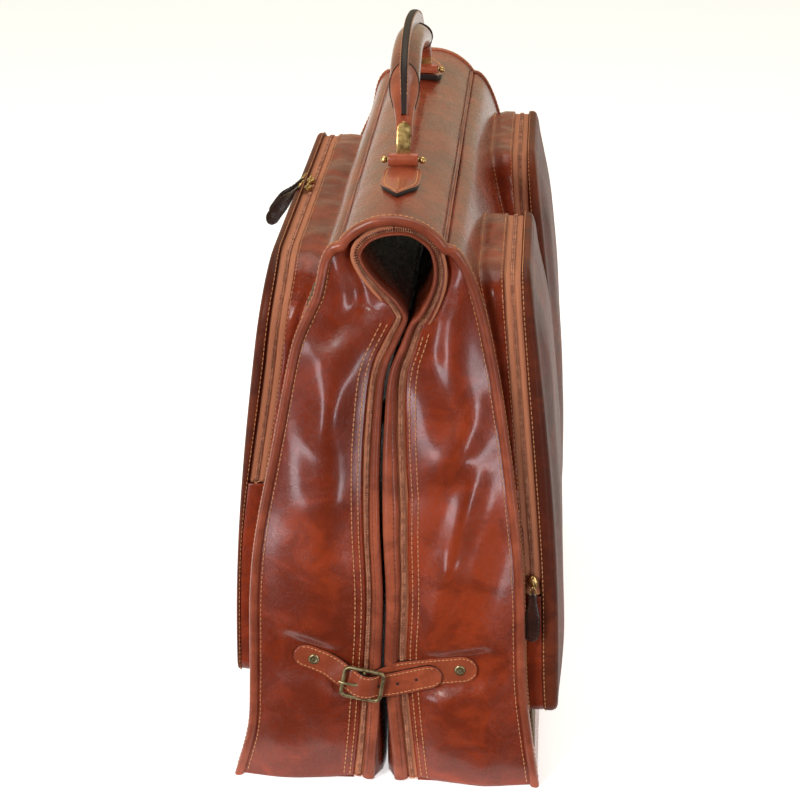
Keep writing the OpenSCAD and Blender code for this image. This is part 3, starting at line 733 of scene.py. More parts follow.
def makeBase(side):  # hide, zip and lid edge along the bottom, from end to end
    half = halfNames[side]
    lidEdge = bandAt(side, "lid", 1)
    gussetEdge = bandAt(side, "gusset", 1)
    start = lids[side].at(1)[0]
    inner, outer = start + side * gussetEdge, side * (flank(0, side) - 3 * mm)
    reach = endY - 3.4 * mm

    def hideShape(u, v):
        x, y = mix(inner, outer, u), mix(-reach, reach, v)
        return Vector((x, y, 0.9 * mm + 0.6 * mm * abs(rough3((x, y, 0), 18))))
    piece = surface(half + "_base", hideShape, 20, 90, "gusset", 1 * mm, flip=side > 0)
    onBody(piece, "shell_leather", half + "_half", half + "_bottom_gusset")

    def tapeShape(u, v):
        x = start + side * mix(lidEdge - 2 * mm, gussetEdge + 2 * mm, u)
        return Vector((x, mix(-reach, reach, v), 3.2 * mm + 0.6 * mm * abs(u - 0.5)))
    tape = surface(half + "_base_tape", tapeShape, 6, 60, "tape", 0.8 * mm, flip=side > 0)
    onBody(tape, "zip_tape", half + "_half")
    teeth = Seam()
    middle = start + side * bandAt(side, "teeth", 1)
    count = int(2 * reach / (1.9 * mm))
    for i in range(count):
        y = mix(-reach, reach, (i + 0.5) / count)
        for hand in (-1, 1):
            teeth.capsule(Vector((middle + hand * 1.2 * mm, y, 2.4 * mm)), Vector((1, 0, 0)),
                          Vector((0, 0, -1)), 2.7 * mm, 1.25 * mm, 1.2 * mm)
    onBody(teeth.build(half + "_base_teeth", "teeth"), "zip_tape", half + "_half")

    def edgeShape(u, v):
        x = start + side * mix(0, lidEdge, u)
        return Vector((x, mix(-reach, reach, v), mix(1 * mm, 6 * mm, abs(2 * u - 1) ** 4)))
    edge = surface(half + "_base_edge", edgeShape, 10, 60, "edge", 0, flip=side > 0)
    onBody(edge, "edge_leather", half + "_half")


def tube(name, points, radius, finish, sides=12, closed=False, flat=1.0):  # radius: a number or a function
    points = [Vector(p) for p in points]
    count = len(points)
    verts, faces = [], []
    normal = None
    for i, p in enumerate(points):
        before = points[i - 1] if closed or i else points[0]
        after = points[(i + 1) % count] if closed or i < count - 1 else points[-1]
        run = (after - before).normalized()
        if normal is None:
            normal = run.orthogonal().normalized()
        normal = (normal - run * normal.dot(run)).normalized()
        other = run.cross(normal)
        r = radius(i / (count - 1)) if callable(radius) else radius
        for k in range(sides):
            a = 2 * math.pi * k / sides
            verts.append(p + normal * (r * math.cos(a)) + other * (r * flat * math.sin(a)))
    for i in range(count if closed else count - 1):
        for k in range(sides):
            a, b = i * sides + k, i * sides + (k + 1) % sides
            c, d = (a + sides) % (count * sides), (b + sides) % (count * sides)
            faces.append((a, b, d, c))
    if not closed:
        faces.append(tuple(range(sides))[::-1])
        faces.append(tuple(range((count - 1) * sides, count * sides)))
    return link(name, verts, faces, finish)


def turned(name, profile, middle, axis, finish, sides=28):  # profile: (radius, height) in mm
    axis = Vector(axis).normalized()
    one = axis.orthogonal().normalized()
    two = axis.cross(one)
    verts, faces = [], []
    for r, h in profile:
        for k in range(sides):
            a = 2 * math.pi * k / sides
            verts.append(Vector(middle) + axis * (h * mm) + (one * math.cos(a) + two * math.sin(a)) * (r * mm))
    for i in range(len(profile) - 1):
        for k in range(sides):
            a, b = i * sides + k, i * sides + (k + 1) % sides
            faces.append((a, b, b + sides, a + sides))
    faces.append(tuple(range(sides))[::-1])
    faces.append(tuple(range((len(profile) - 1) * sides, len(profile) * sides)))
    return link(name, verts, faces, finish)


def joined(name, *pieces):
    bpy.ops.object.select_all(action="DESELECT")
    for piece in pieces:
        piece.select_set(True)
    bpy.context.view_layer.objects.active = pieces[0]
    bpy.ops.object.join()
    pieces[0].name = name
    pieces[0].select_set(False)
    return pieces[0]


def strap(name, path, halfWidth, thick, finish, crown=0.3 * mm):  # a flat strip with painted cut edges
    def shape(u, v):
        point, out, across = path(v)
        s = 2 * u - 1
        return point + across * (s * halfWidth(v)) + out * (crown * (1 - s * s))
    piece = surface(name, shape, 8, 90, finish)
    piece.data.materials.append(finishes["paintedEdge"])
    settle(piece, ("SOLIDIFY", {"thickness": thick, "offset": -1.0, "material_offset_rim": 1}),
           ("BEVEL", {"width": 0.35 * mm, "segments": 2, "limit_method": "ANGLE"}))
    return piece


def roundEnds(half, length, low=1.0, high=1.0):  # half width of a strip whose ends are round
    def width(v):
        for gone, share in ((v * length, low), ((1 - v) * length, high)):
            reach = half * share
            if share and gone < reach:
                return max(0.25 * mm, half * math.sqrt(max(0.0, 1 - (1 - gone / reach) ** 2)))
        return half
    return width


def rimStitches(seam, path, halfWidth, inset, low, high, lift=0.0, **sizes):
    for hand in (-1, 1):
        line = []
        for v in shares(121, low, high):
            point, out, across = path(v)
            half = halfWidth(v) - inset
            if half > 0.6 * mm:
                line.append((point + across * (hand * half) + out * (0.25 * mm + lift), out))
        seam.stitches(line, **sizes)


def alongLine(points, outward):  # a path(v) for strap()
    line = smooth(points)
    gone = np.concatenate([[0], np.cumsum([(q - p).length for p, q in zip(line, line[1:])])])
    length = float(gone[-1])
    table = np.array([tuple(p) for p in line])

    def spot(v):
        g = min(1.0, max(0.0, v)) * length
        return Vector([float(np.interp(g, gone, table[:, k])) for k in range(3)])

    def path(v):
        run = (spot(v + 0.01) - spot(v - 0.01)).normalized()
        out = Vector(outward(v))
        out = (out - run * out.dot(run)).normalized()
        return spot(v), out, run.cross(out).normalized()
    return path, length


pocketKinds = {  # a gusset, a zip round it and a padded face, on a rounded outline
    "front": {"side": -1, "spans": [("front", -0.240, 0.240)], "low": 0.082, "high": 0.488, "rTop": 0.070,
              "rLow": 0.012, "zip": (0.45, 0.25, 8), "zipEnd": 0.283, "bulge": 0.006, "tape": 0.0075,
              "nodes": ("front_pocket_gusset", "front_pocket_zip", "front_pocket_face")},
    "back": {"side": 1, "spans": [("near_back", -0.275, -0.068), ("far_back", 0.068, 0.275)], "low": 0.072,
             "high": 0.498, "rTop": 0.035, "rLow": 0.012, "zip": (0.27, 0.38, 3), "zipEnd": 0.196,
             "bulge": 0.008, "tape": 0.0075,
             "nodes": ("back_pocket_gussets", "back_pocket_zips", "back_pocket_faces")},
}
pocketSections = {  # (place, mm outward): 0 is at the shell, 1 and 2 at the tape's edges, 3 at the face
    "gusset": [(0, 0.4), (0.08, -0.6), (0.2, -0.8), (0.4, 0.6), (0.6, 1.2), (0.8, 0.9), (0.93, 0.6),
               (1.0, 0.4), (1.01, -1.4)],
    "strip": [(0.97, -1.2), (1.0, 0.2), (1.1, 0.7), (1.5, 1.0), (1.9, 0.7), (2.0, 0.2), (2.03, -1.2)],
    "tape": [(0.94, -2.2), (1.2, -1.9), (1.5, -2.4), (1.8, -1.9), (2.06, -2.2)],
    "rim": [(1.97, -1.6), (2.0, 0.3), (2.06, 0.9), (2.3, 1.4), (2.6, 1.2), (2.82, -0.1), (2.95, -2.2),
            (3.0, -5.0)],
}
pocketReach = -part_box("front_pocket_face")[0].x
pocketCrown = 36 * mm
pocketWaves = {"gusset": ((3.4, 22), (1.6, 60)), "face": (1.6, 9)}  # (mm, per metre)
pocketRows = ((0.9, 1.1), (0.12, 0.1), (2.12, 1.6))


def outlineTrack(left, right, low, high, rTop, rLow):
    middle = (left + right) / 2
    points = [(middle, low)]
    corners = ((left + rLow, low + rLow, rLow, 270, 180), (left + rTop, high - rTop, rTop, 180, 90),
               (right - rTop, high - rTop, rTop, 90, 0), (right - rLow, low + rLow, rLow, 0, -90))
    for y, z, r, start, end in corners:
        for a in map(math.radians, shares(13, start, end)):
            points.append((y + r * math.cos(a), z + r * math.sin(a)))
    points.append((middle, low))
    return Track([(y / mm, z / mm) for y, z in points], 1)


def makePocket(kind, name, left, right):
    looks = pocketKinds[kind]
    side, low, high = looks["side"], looks["low"], looks["high"]
    ring = outlineTrack(left, right, low, high, looks["rTop"], looks["rLow"])
    base, rise, power = looks["zip"]
    seed = 20 * side + left * 50

    def faceX(z):
        t = min(1.0, max(0.0, (high - z) / (high - low)))
        return pocketReach - pocketCrown * (1 - math.sin(math.pi / 2 * t))

    def depthAt(w, z):  # w: 0 at the shell, 1 and 2 at the tape's edges, 3 at the face
        z = min(high, max(low, z))
        f, face = flank(z, side), faceX(z)
        middle = f + (face - f) * (base + rise * ((z - low) / (high - low)) ** power)
        inner = max(middle - looks["tape"], f + 2.5 * mm)
        outer = middle + looks["tape"]
        if w < 1:
            return mix(f - 0.5 * mm, inner, w)
        return mix(inner, outer, w - 1) if w < 2 else mix(outer, face, w - 2)

    def onRing(t, w, out):
        t = t % 1.0
        y, z = ring.at(t)
        ny, nz = ring.left(t, 0.003)
        return Vector((side * depthAt(w, z), y + ny * out, z + nz * out))

    def section(part, u):
        w, out = between(pocketSections[part], u)
        return w, out * mm

    def gussetShape(u, v):
        w, out = section("gusset", u)
        point = onRing(v, w, out)
        loose = math.sin(math.pi * min(1, u * 1.05)) ** 0.7
        crumple = sum(height * mm * rough3(point, scale, seed) for height, scale in pocketWaves["gusset"])
        return onRing(v, w, out + loose * crumple)
    gusset = surface(name + "_pocket_gusset", gussetShape, 18, 420, "pocket", 1.6 * mm, flip=side < 0)

    def stripShape(u, v):  # below the ends of the zip a strip of hide carries on round the bottom
        t = mix(zipHigh, zipLow + 1, v)
        return onRing(t, *section("strip", u))

    bottom = (right - left) / 2 - looks["rLow"] + math.pi / 2 * looks["rLow"]
    zipLow = (bottom + looks["zipEnd"] - low - looks["rLow"]) / ring.length
    zipHigh = 1 - zipLow
    strip = surface(name + "_pocket_strip", stripShape, 12, 260, "pocket", 1.2 * mm, flip=side < 0)

    def tapeShape(u, v):
        return onRing(mix(zipLow, zipHigh, v), *section("tape", u))
    tape = surface(name + "_pocket_tape", tapeShape, 8, 300, "tape", 0.7 * mm, flip=side < 0)
    teeth = Seam()
    count = int(ring.length * (zipHigh - zipLow) / (1.8 * mm))
    for i in range(count):
        t = mix(zipLow, zipHigh, (i + 0.5) / count)
        spot, inner, raised = onRing(t, 1.5, -1.5 * mm), onRing(t, 1.45, -1.5 * mm), onRing(t, 1.5, 0)
        across, out = (spot - inner).normalized(), (raised - spot).normalized()
        for hand in (-1, 1):
            teeth.capsule(spot + across * (hand * 0.9 * mm), across, out, 2.0 * mm, 1.05 * mm, 1.2 * mm)
    chain = teeth.build(name + "_pocket_teeth", "teeth")
    centreY, centreZ = (left + right) / 2, (low + high) / 2

    def faceShape(u, v):
        if u < 0.4:
            return onRing(v, *section("rim", u / 0.4))
        k = (u - 0.4) / 0.6
        edge = onRing(v, 3.0, -5 * mm)
        share = 1 - k ** 1.15 * 0.9995
        y = centreY + (edge.y - centreY) * share
        z = centreZ + (edge.z - centreZ) * share
        swell = looks["bulge"] * ease(0, 0.42, k) * (0.55 + 0.45 * ease(low, high, z))
        height, scale = pocketWaves["face"]
        ripple = height * mm * rough3((0, y, z), scale, seed) * ease(0, 0.2, k)
        return Vector((side * (faceX(z) + swell + ripple), y, z))
    face = surface(name + "_pocket_face", faceShape, 52, 300, "face", 2.2 * mm, flip=side < 0)
    seam = Seam()
    for w, out in pocketRows:
        line = []
        for t in shares(420):
            spot = onRing(t, w, out * mm)
            if w < 1:
                spot = spot + (gussetShape(0.76 if w > 0.5 else 0.14, t) - onRing(t, w, out * mm)) * 0.9
            line.append((spot, (onRing(t, w, 5 * mm) - onRing(t, w, 0)).normalized()))
        seam.stitches(line, 0.0046, 0.0033, 0.0008)
    for t in (zipLow, zipHigh):  # cross stitches that close the ends of the zip
        for hand in (-0.006, 0.006):
            line = [(onRing(t + hand * 0.5 * (2 * k / 6 - 1), mix(1.1, 1.9, k / 6), 0.2 * mm),
                     (onRing(t, 1.5, 5 * mm) - onRing(t, 1.5, 0)).normalized()) for k in range(7)]
            seam.stitches(line, 0.0034, 0.003, 0.0009)
    rows = seam.build(name + "_pocket_stitches", "thread")
    for piece, node in ((gusset, 0), (strip, 0), (tape, 1), (chain, 1), (face, 2), (rows, 2)):
        slot = "zip_tape" if node == 1 else "shell_leather"
        onBody(piece, slot, halfNames[side] + "_half", looks["nodes"][node])


def makeSeams():  # the two seams along the spine
    angle = math.asin(shell["seamHalf"] / shell["domeR"]) - math.radians(1.5)
    seam = Seam()
    for side in (-1, 1):
        points, r = [], shell["domeR"] - 0.3 * mm
        for y in shares(121, -shell["panelY"] - 1 * mm, shell["panelY"] + 1 * mm):
            a = angle + 0.008 * rough3((0, y, side), 6)
            points.append(Vector((side * r * math.sin(a), y, shell["domeZ"] + r * math.cos(a))))
        piece = tube("piping_" + halfNames[side], points, 1.3 * mm, "edge", 10)
        onBody(piece, "edge_leather", "spine", "spine_pipings")
        out = Vector((side * math.sin(angle - 0.075), 0, math.cos(angle - 0.075)))
        seam.stitches([(Vector((0, y, shell["domeZ"])) + out * (shell["domeR"] + 0.5 * mm), out)
                       for y in shares(200, -shell["panelY"], shell["panelY"])])
    onBody(seam.build("spine_stitches", "seamThread"), "edge_leather", "spine")


handleLooks = {  # radii and half widths in mm, the wraps' reach, and the keel's section
    "grip": (13.2, 12.4), "gripEnd": (6.0, 4.4), "wrap": 0.9, "sway": -6, "keelHalf": 3.6, "keelEnd": 2.3,
    "tongue": (0.10, 0.16, 0.55),
    "keel": [(-1, -0.1), (-1.02, 0.5), (-1.0, 0.86), (-0.86, 0.97), (-0.4, 1.0), (0.4, 1.0), (0.86, 0.97),
             (1.0, 0.86), (1.02, 0.5), (1, -0.1)],
}
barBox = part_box("handle_bars")
barY, barZ = barBox[1].y - 3 * mm, (barBox[0].z + barBox[1].z) / 2
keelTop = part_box("handle_keel")[1].z
handleCurve = Track([(-146, 584), (-141, 592), (-128, 601), (-110, 608.5), (-80, 619), (-45, 626.8), (0, 630),
                     (45, 626.8), (80, 619), (110, 608.5), (128, 601), (141, 592), (146, 584)], 10)


def handleSway(y):  # the handle leans a little to the front between its bars
    return handleLooks["sway"] * mm * (1 - (y / 0.146) ** 2)


def makeGrip():
    def body(low, high, name, extra, finish):
        def shape(u, v):
            a = 2 * math.pi * u
            return around(mix(low(a), high(a), v), a, extra)
        return surface(name, shape, 48, 110, finish, 0, flip=True)

    def around(t, a, extra):
        y, z = handleCurve.at(t)
        ny, nz = handleCurve.left(t)
        far = abs(y)
        (wide, tall), (wideEnd, tallEnd) = handleLooks["grip"], handleLooks["gripEnd"]
        wide = mix(wide * mm, wideEnd * mm, ease(0.088, 0.145, far)) + extra
        tall = mix(tall * mm, tallEnd * mm, ease(0.092, 0.142, far)) + extra
        swell = 1 + 0.05 * math.cos(2 * a) + 0.02 * rough3((y * 1.0, a * 0.05, 0), 30)
        rise = tall * math.sin(a) * swell
        return Vector((wide * math.cos(a) * swell + handleSway(y), y + ny * rise, z + nz * rise))

    def tongue(a):  # the wrap reaches farthest beside the keel
        least, more, power = handleLooks["tongue"]
        return least + more * max(0.0, math.sin(a)) ** power
    grip = body(lambda a: 0.05, lambda a: 0.95, "grip", 0.0, "grip")
    onBody(grip, "grip_leather", "handle", "handle_grip")
    wraps, wrap = [], handleLooks["wrap"] * mm
    for end in (-1, 1):
        if end < 0:
            wraps.append(body(lambda a: 0.0, tongue, "wrap", wrap, "strap"))
        else:
            wraps.append(body(lambda a: 1 - tongue(a), lambda a: 1.0, "wrap", wrap, "strap"))
        loop = []
        for k in range(64):
            a = 2 * math.pi * k / 64
            loop.append(around(tongue(a) if end < 0 else 1 - tongue(a), a, 0.8 * mm))
        wraps.append(tube("wrap_edge", loop, 0.75 * mm, "paintedEdge", 8, True))
    onBody(joined("handle_wraps", *wraps), "grip_leather", "handle", "handle_end_wraps")

    def keelSection(u, v):
        t = mix(0.048, 0.952, v)
        y, z = handleCurve.at(t)
        ny, nz = handleCurve.left(t)
        far = abs(y)
        top = mix(keelTop - 0.6301, 8.5 * mm, ease(0.085, 0.142, far))
        half = mix(handleLooks["keelHalf"] * mm, handleLooks["keelEnd"] * mm, ease(0.09, 0.145, far))
        s, h = between(handleLooks["keel"], u)
        h *= top
        return Vector((s * half + handleSway(y), y + ny * h, z + nz * h))
    keel = surface("keel", keelSection, 36, 160, "grip", 0, flip=True)
    keel.data.materials.append(finishes["paintedEdge"])
    for polygon in keel.data.polygons:
        column = polygon.index % 36
        polygon.material_index = 1 if 11 <= column <= 24 else 0
    onBody(keel, "grip_leather", "handle", "handle_keel")
    seam = Seam()
    for hand, column in ((-1, 0.28), (1, 0.72)):
        seam.stitches([(keelSection(column, v), Vector((hand, 0, 0))) for v in shares(200, 0.06, 0.94)],
                      0.0046, 0.0034, 0.0008)
    onBody(seam.build("keel_stitches", "thread"), "grip_leather", "handle")


def makeHandleEnd(end):
    tilt = math.radians(30)
    name = endNames[end]
    up = Vector((0, -end * math.sin(tilt), math.cos(tilt)))
    face = Vector((0, end * math.cos(tilt), math.sin(tilt)))
    bar = Vector((0, end * barY, barZ))

    def linkPath(v):
        spot = bar + up * mix(1 * mm, 32 * mm, v) + face * (mix(0, 4.6, ease(0, 0.45, v)) * mm)
        return spot, face, Vector((end, 0, 0))
    plate = strap(name + "_link", linkPath, roundEnds(6 * mm, 31.5 * mm, 0, 1), 2.2 * mm, "brass", 0.1 * mm)
    plate.data.materials[1] = finishes["brass"]

    def eyeShape(u, v):  # the link's lower end, curled round the bar
        a = math.radians(mix(-80, 200, round(v * 19) / 19))
        curled = face * (3.1 * mm * math.cos(a)) - up * (3.1 * mm * math.sin(a))
        return bar + curled + Vector((mix(-5.6, 5.6, u) * mm, 0, 0))
    curl = surface(name + "_eye", eyeShape, 4, 19, "brass", 1.6 * mm)
    plate = joined(name + "_link", plate, curl)
    screw = turned(name + "_screw", [(2.9, -1.2), (2.9, 0.5), (2.5, 1.0), (1.5, 1.25), (1.3, 0.9), (0.6, 0.9),
                                     (0.4, 1.15), (0.05, 1.2)],
                   bar + up * (26 * mm) + face * (4.7 * mm), face, "brass")
    rod = [(2.0, -16.0)]
    for a in map(math.radians, shares(13, -60, 90)):
        rod.append((3.1 * math.cos(a), 17.0 + 3.1 * math.sin(a)))
    profile = [(r, -h) for r, h in rod[:0:-1]] + [(2.0, -13.5), (2.0, 13.5)] + rod[1:]
    barPiece = turned(name + "_bar", profile, bar, (1, 0, 0), "brass")
    for piece, node in ((plate, "handle_links"), (screw, "handle_screws"), (barPiece, "handle_bars")):
        onBody(piece, "brass", "handle", node)

    def sleeveShape(u, v):  # leather roll that the bar turns in, open on the inner side for the link
        a = math.radians(mix(-52, 205, v))
        x = mix(-13.2, 13.2, u) * mm
        r = (5.9 + 0.35 * math.cos(u * 9) * rough3((x, a, 0), 60) + 0.4 * (1 - (2 * u - 1) ** 8)) * mm
        return bar + Vector((x, end * r * math.cos(a), r * math.sin(a)))
    roll = surface(name + "_roll", sleeveShape, 26, 40, "strap", 1.6 * mm, flip=end > 0)
    onBody(roll, "grip_leather", "handle", "bar_sleeves")

    near, tip = barY - 4 * mm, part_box("handle_tabs")[1].y
    outline = Track([(0, 13.4), (6, 13.8), (14, 16.6), (30, 17.4), (46, 17.0), (56, 14.6), (66, 9.5), (76, 4.0),
                     (82, 0.3)], 8)

    def tabHalf(v):
        far = (tip - near) / mm * v
        return max(0.3 * mm, float(np.interp(far * mm, outline.a * (tip - near) / (82 * mm), outline.b)))

    def tabShape(u, v):
        s = 2 * u - 1
        y = mix(near, tip, v)
        x = s * tabHalf(v)
        groove = -0.55 * mm * bell(abs(s) * tabHalf(v), tabHalf(v) - 3.4 * mm, 0.8 * mm) * ease(0.1, 0.2, v)
        lift = 4.2 * mm + 1.4 * mm * bell(v, 0.0, 0.16) + groove + 0.8 * mm
        return Vector((x, end * y, shell["domeZ"] + math.sqrt(shell["domeR"] ** 2 - x * x) + lift))
    tab = surface(name + "_tab", tabShape, 30, 90, "strap", 0, flip=end < 0)
    tab.data.materials.append(finishes["paintedEdge"])
    settle(tab, ("SOLIDIFY", {"thickness": 5.6 * mm, "offset": -1.0, "material_offset_rim": 1}),
           ("BEVEL", {"width": 0.7 * mm, "segments": 3, "limit_method": "ANGLE"}))
    onBody(tab, "strap_leather", "spine", "handle_tabs")
    seam = Seam()
    for hand in (-1, 1):
        line = []
        for v in shares(140, 0.16, 0.93):
            half = tabHalf(v)
            if half > 4 * mm:
                u = 0.5 + hand * 0.5 * (half - 3.4 * mm) / half
                line.append((tabShape(u, v) + Vector((0, 0, 0.3 * mm)), Vector((0, 0, 1))))
        seam.stitches(line, 0.0036, 0.0033, 0.0011)
    onBody(seam.build(name + "_tab_stitches", "thread"), "strap_leather", "spine")


buckle = {"x": -0.027, "y": 0.300, "z": 0.112, "tilt": math.radians(10), "half": 18, "rise": 15, "corner": 5.0}


def onBuckle(end, x, y, z):  # the buckle's own millimetres, in the row frame
    a = buckle["tilt"]
    return Vector((buckle["x"] + (x * math.cos(a) + z * math.sin(a)) * mm, end * (buckle["y"] + y * mm),
                   buckle["z"] + (-x * math.sin(a) + z * math.cos(a)) * mm))


billetLine = [(-90, 138, 290.9), (-72, 131.5, 291.2), (-58, 125.5, 292.0), (-47, 119, 295.4),
              (-40, 115.5, 297.0), (-33, 113, 302.5), (-27, 111.5, 304.9), (-20, 110, 303.4),
              (-12, 109, 297.2), (-5, 109.5, 296.0),
              (4, 110.5, 294.6), (16, 113.5, 293.8), (31, 117.5, 293.6), (45, 120.5, 293.4)]
chapeLine = [(-25, 112, 296.2), (-15, 113, 294.4), (-3, 115, 291.6), (10, 117.5, 290.6), (35, 121.5, 290.6),
             (61, 125.2, 290.9), (77, 128, 290.9)]


def makeBuckle(end):
    name = endNames[end]

    def outward(v):
        return (0, end, 0)
    path, length = alongLine([Vector((x, end * y, z)) * mm for x, z, y in billetLine], outward)
    half = roundEnds(12 * mm, length, 1.0, 1.05)
    billet = strap(name + "_billet", path, half, 2.2 * mm, "strap")
    onBody(billet, "strap_leather", "front_half", "billets")
    rows = Seam()
    rimStitches(rows, path, half, 2.3 * mm, 0.035, 0.97, pitch=0.0038, length=0.0029, width=0.0009)
    stitches = rows.build(name + "_billet_stitches", "thread")
    holes = []
    for v in (0.44, 0.60, 0.72, 0.84):
        point, out, across = path(v)
        # each hole is a dark disc: painted shade
        holes.append(turned(name + "_hole", [(1.5, -0.9), (1.5, 0.42), (1.2, 0.5), (0.1, 0.5)], point, out,
                            "hole", 12))
    stitches = joined(name + "_billet_stitches", stitches, *holes)
    onBody(stitches, "strap_leather", "front_half")
    for piece in (billet, stitches):
        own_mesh(piece)
    path2, length2 = alongLine([Vector((x, end * y, z)) * mm for x, z, y in chapeLine], outward)
    half2 = roundEnds(14 * mm, length2, 0, 1.0)

    def waist(v):
        return min(half2(v), mix(10 * mm, 14.4 * mm, ease(0.05, 0.4, v)))
    chape = strap(name + "_chape", path2, waist, 2.4 * mm, "strap")
    onBody(chape, "strap_leather", "back_half", "chapes")
    rows = Seam()
    rimStitches(rows, path2, waist, 2.3 * mm, 0.3, 0.985, pitch=0.0038, length=0.0029, width=0.0009)
    onBody(rows.build(name + "_chape_stitches", "thread"), "strap_leather", "back_half")
    dome = [(5.0, -1.2), (5.2, 0.1), (4.9, 0.8), (4.0, 1.3), (2.6, 1.45), (2.3, 1.15), (1.7, 1.3), (0.8, 1.55),
            (0.05, 1.6)]
    for kind, body, (x, y, z) in (("billet", "front_half", (-72, 291.7, 131.5)),
                                  ("chape", "back_half", (61.5, 291.4, 125.4))):
        rivet = turned(name + "_" + kind + "_rivet", dome, Vector((x, end * y, z)) * mm, (0, end, 0),
                       "oldBrass")
        onBody(rivet, "old_brass", body, kind + "_rivets")
    frameLine, r = [], buckle["corner"]
    for sx, sz, start in ((1, 1, 0), (-1, 1, 90), (-1, -1, 180), (1, -1, 270)):
        for a in map(math.radians, shares(8, start, start + 90)):
            frameLine.append(onBuckle(end, sx * (buckle["half"] - r) + r * math.cos(a), 0,
                                      sz * (buckle["rise"] - r) + r * math.sin(a)))
    frameRod = tube(name + "_frame", frameLine, 2.0 * mm, "oldBrass", 12, True, 0.92)
    centre = tube(name + "_centre_bar", [onBuckle(end, 0, 0, z) for z in shares(9, -14.5, 14.5)], 1.5 * mm,
                  "oldBrass", 10)
    onBody(joined(name + "_buckle_frame", frameRod, centre), "old_brass", "back_half", "buckle_frames")
    ringLine = [onBuckle(end, 2.7 * math.cos(a), 2.7 * math.sin(a), 0)
                for a in (2 * math.pi * k / 16 for k in range(16))]
    ring = tube(name + "_prong_ring", ringLine, 1.1 * mm, "oldBrass", 8, True)
    prongLine = [(-2.5, 1.6), (-5, 3.2), (-9, 3.9), (-14, 3.9), (-18, 3.6), (-21.5, 2.6)]
    rod = tube(name + "_prong_rod", smooth([onBuckle(end, x, y, 0) for x, y in prongLine]),
               lambda t: mix(1.5, 0.8, t ** 2) * mm, "oldBrass", 10)
    onBody(joined(name + "_prong_rod", rod, ring), "old_brass", name + "_prong", name + "_prong")


sliderLooks = {  # in mm: the shield's half sizes and levels (size, height), its arch, the ring and the leaf
    "long": 6.6, "wide": 4.1,
    "levels": [(0.9, 0.0), (1.0, 0.9), (1.0, 2.0), (0.86, 3.0), (0.55, 3.7), (0.02, 3.9)],
    "arch": (5.0, 3.0, 0.9), "ring": (3.6, 4.6, 2.3, 0.75), "leaf": (50, 5), "neck": 3.6, "spread": 3.6,
}


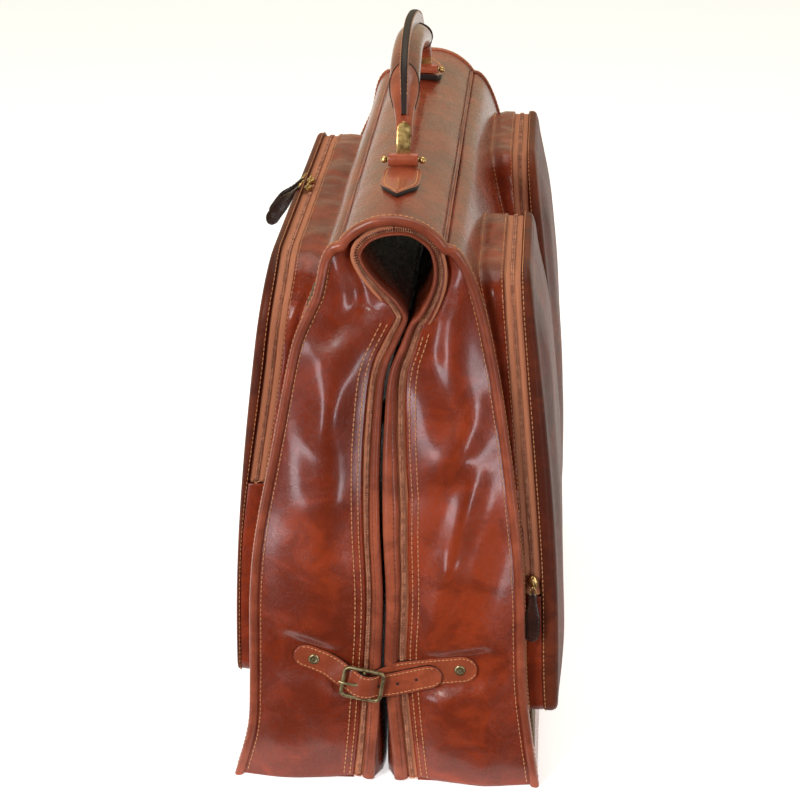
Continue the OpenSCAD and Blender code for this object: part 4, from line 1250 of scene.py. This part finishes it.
def makeSlider(node, pullNode, up, out, hang, bend, sweep, twist=0):  # hang: the way the pull lies
    looks = sliderLooks
    low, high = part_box(node)
    middle = (low + high) / 2
    up, out = Vector(up).normalized(), Vector(out).normalized()
    across = up.cross(out)
    depth = abs((high - low).dot(Vector([abs(c) for c in out])))
    foot = middle - out * (depth / 2)

    def bodyShape(u, v):  # shield-shaped plate with a raised middle
        a = 2 * math.pi * u
        grow, rise = between(looks["levels"], v)
        long = looks["long"] * mm * grow
        wide = (looks["wide"] - 0.9 * max(0.0, math.sin(a)) ** 2 + 0.5 * max(0, -math.sin(a))) * mm * grow
        return foot + up * (long * math.sin(a)) + across * (wide * math.cos(a)) + out * ((rise + 0.3) * mm)
    plate = surface(node + "_plate", bodyShape, 32, 10, "brass")
    reach, height, rod = looks["arch"]
    bow = [foot + up * (reach * mm * math.cos(a)) + out * ((3.0 + height * math.sin(a)) * mm)
           for a in shares(13, 0, math.pi)]
    arch = tube(node + "_arch", bow, rod * mm, "brass", 8)
    onBody(joined(node + "_body", plate, arch), "brass", node, node)
    eye = next(joint for joint in frame["joints"] if joint["child"] == pullNode)
    hinge = Vector(eye["pos_m"])
    swing = Vector(eye["axis"]).normalized()
    hang = Vector(hang).normalized()
    away = hang.cross(swing).normalized()
    if away.dot(out) < 0:
        away.negate()
    centre, along, beside, rod = looks["ring"]
    wire = []
    for k in range(20):
        a = 2 * math.pi * k / 20
        wire.append(hinge + hang * ((centre - along * math.cos(a)) * mm) + swing * (beside * mm * math.sin(a)))
    ring = tube(pullNode + "_ring", wire, rod * mm, "brass", 8, True)
    reach, start = looks["leaf"]
    points = [hinge + hang * (s * reach + start) * mm
              + away * (bend * (0.3 - (1 - s) ** 2 * 0.3) - sweep * s * s) * mm
              for s in (0, 0.2, 0.4, 0.6, 0.8, 1.0)]
    side = swing if swing.dot(Vector((0, hinge.y, 0))) > 0 else -swing
    path, length = alongLine(points, lambda v: away * math.cos(twist * ease(0.05, 0.5, v))
                             + side * math.sin(twist * ease(0.05, 0.5, v)))

    def leaf(v):
        far = v * length / mm
        body = looks["neck"] + looks["spread"] * ease(4, 30, far)
        tail = (length / mm - far) / 7.5
        if tail < 1:
            body *= math.sqrt(max(0.0, 1 - (1 - tail) ** 2))
        head = far / 3
        if head < 1:
            body *= math.sqrt(max(0.02, 1 - (1 - head) ** 2))
        return max(0.3, body) * mm
    leather = strap(pullNode + "_leaf", path, leaf, 2.6 * mm, "pull", 0.9 * mm)
    rows = Seam()
    rimStitches(rows, path, leaf, 1.7 * mm, 0.12, 0.94, 0.35 * mm, pitch=0.0036, length=0.0026, width=0.0007)
    stitches = rows.build(pullNode + "_stitches", "darkThread")
    onBody(joined(pullNode + "_leaf", leather, stitches, ring), "pull_leather", pullNode, pullNode)


makeCamera()
makeStudio()
for side in (-1, 1):
    makePanel(side)
    makeLid(side)
    makeBase(side)
    for end in (-1, 1):
        makeGusset(side, end)
        makeZip(side, end)
        makeLidEdge(side, end)
        makeHem(side, end)
makeSpine()
makeSeams()
print("shell and ends ready")
for kind in pocketKinds:
    for name, left, right in pocketKinds[kind]["spans"]:
        makePocket(kind, name, left, right)
print("pockets ready")
makeGrip()
for end in (-1, 1):
    makeHandleEnd(end)
    makeBuckle(end)
    name, lean = endNames[end], math.radians(40)
    makeSlider(name + "_front_slider", name + "_front_pull", (0, end, 0), (0, 0, 1),
               (-math.sin(lean), 0.05 * end, -math.cos(lean)), 10, 4, math.radians(58))
    makeSlider(name + "_back_slider", name + "_back_pull", (-0.088, 0, 0.996), (0, end, 0), (0, 0, -1), 2, 1)
for side in (-1, 1):
    makeSlider(halfNames[side] + "_main_slider", halfNames[side] + "_main_pull", (0, 0, 1), (0, 1, 0),
               (0, 0.22, -0.975), 2, 1)
print("handle, buckles and sliders ready")

innerFinishes = {"spine_board": "board", "front_board": "board", "back_board": "board", "hanger_bar": "brass",
                 "garment_straps": "webbing"}
for node, finish in innerFinishes.items():  # stiff parts inside the bag keep the frame's own shape
    frame["nodes"][node].data.materials.clear()
    frame["nodes"][node].data.materials.append(finishes[finish])

floor = link("floor", studio["floorEdge"], [(0, 1, 2, 3)], "board")
floor.data.materials[0] = plain("studioFloor", studio["floor"], (0.9, 0.9, 0.9), 3, 0.6)
floorShader = floor.data.materials[0].node_tree.nodes["Principled BSDF"]
floorShader.inputs["Emission Color"].default_value = (1, 1, 1, 1)
floorShader.inputs["Emission Strength"].default_value = studio["floorGlow"]
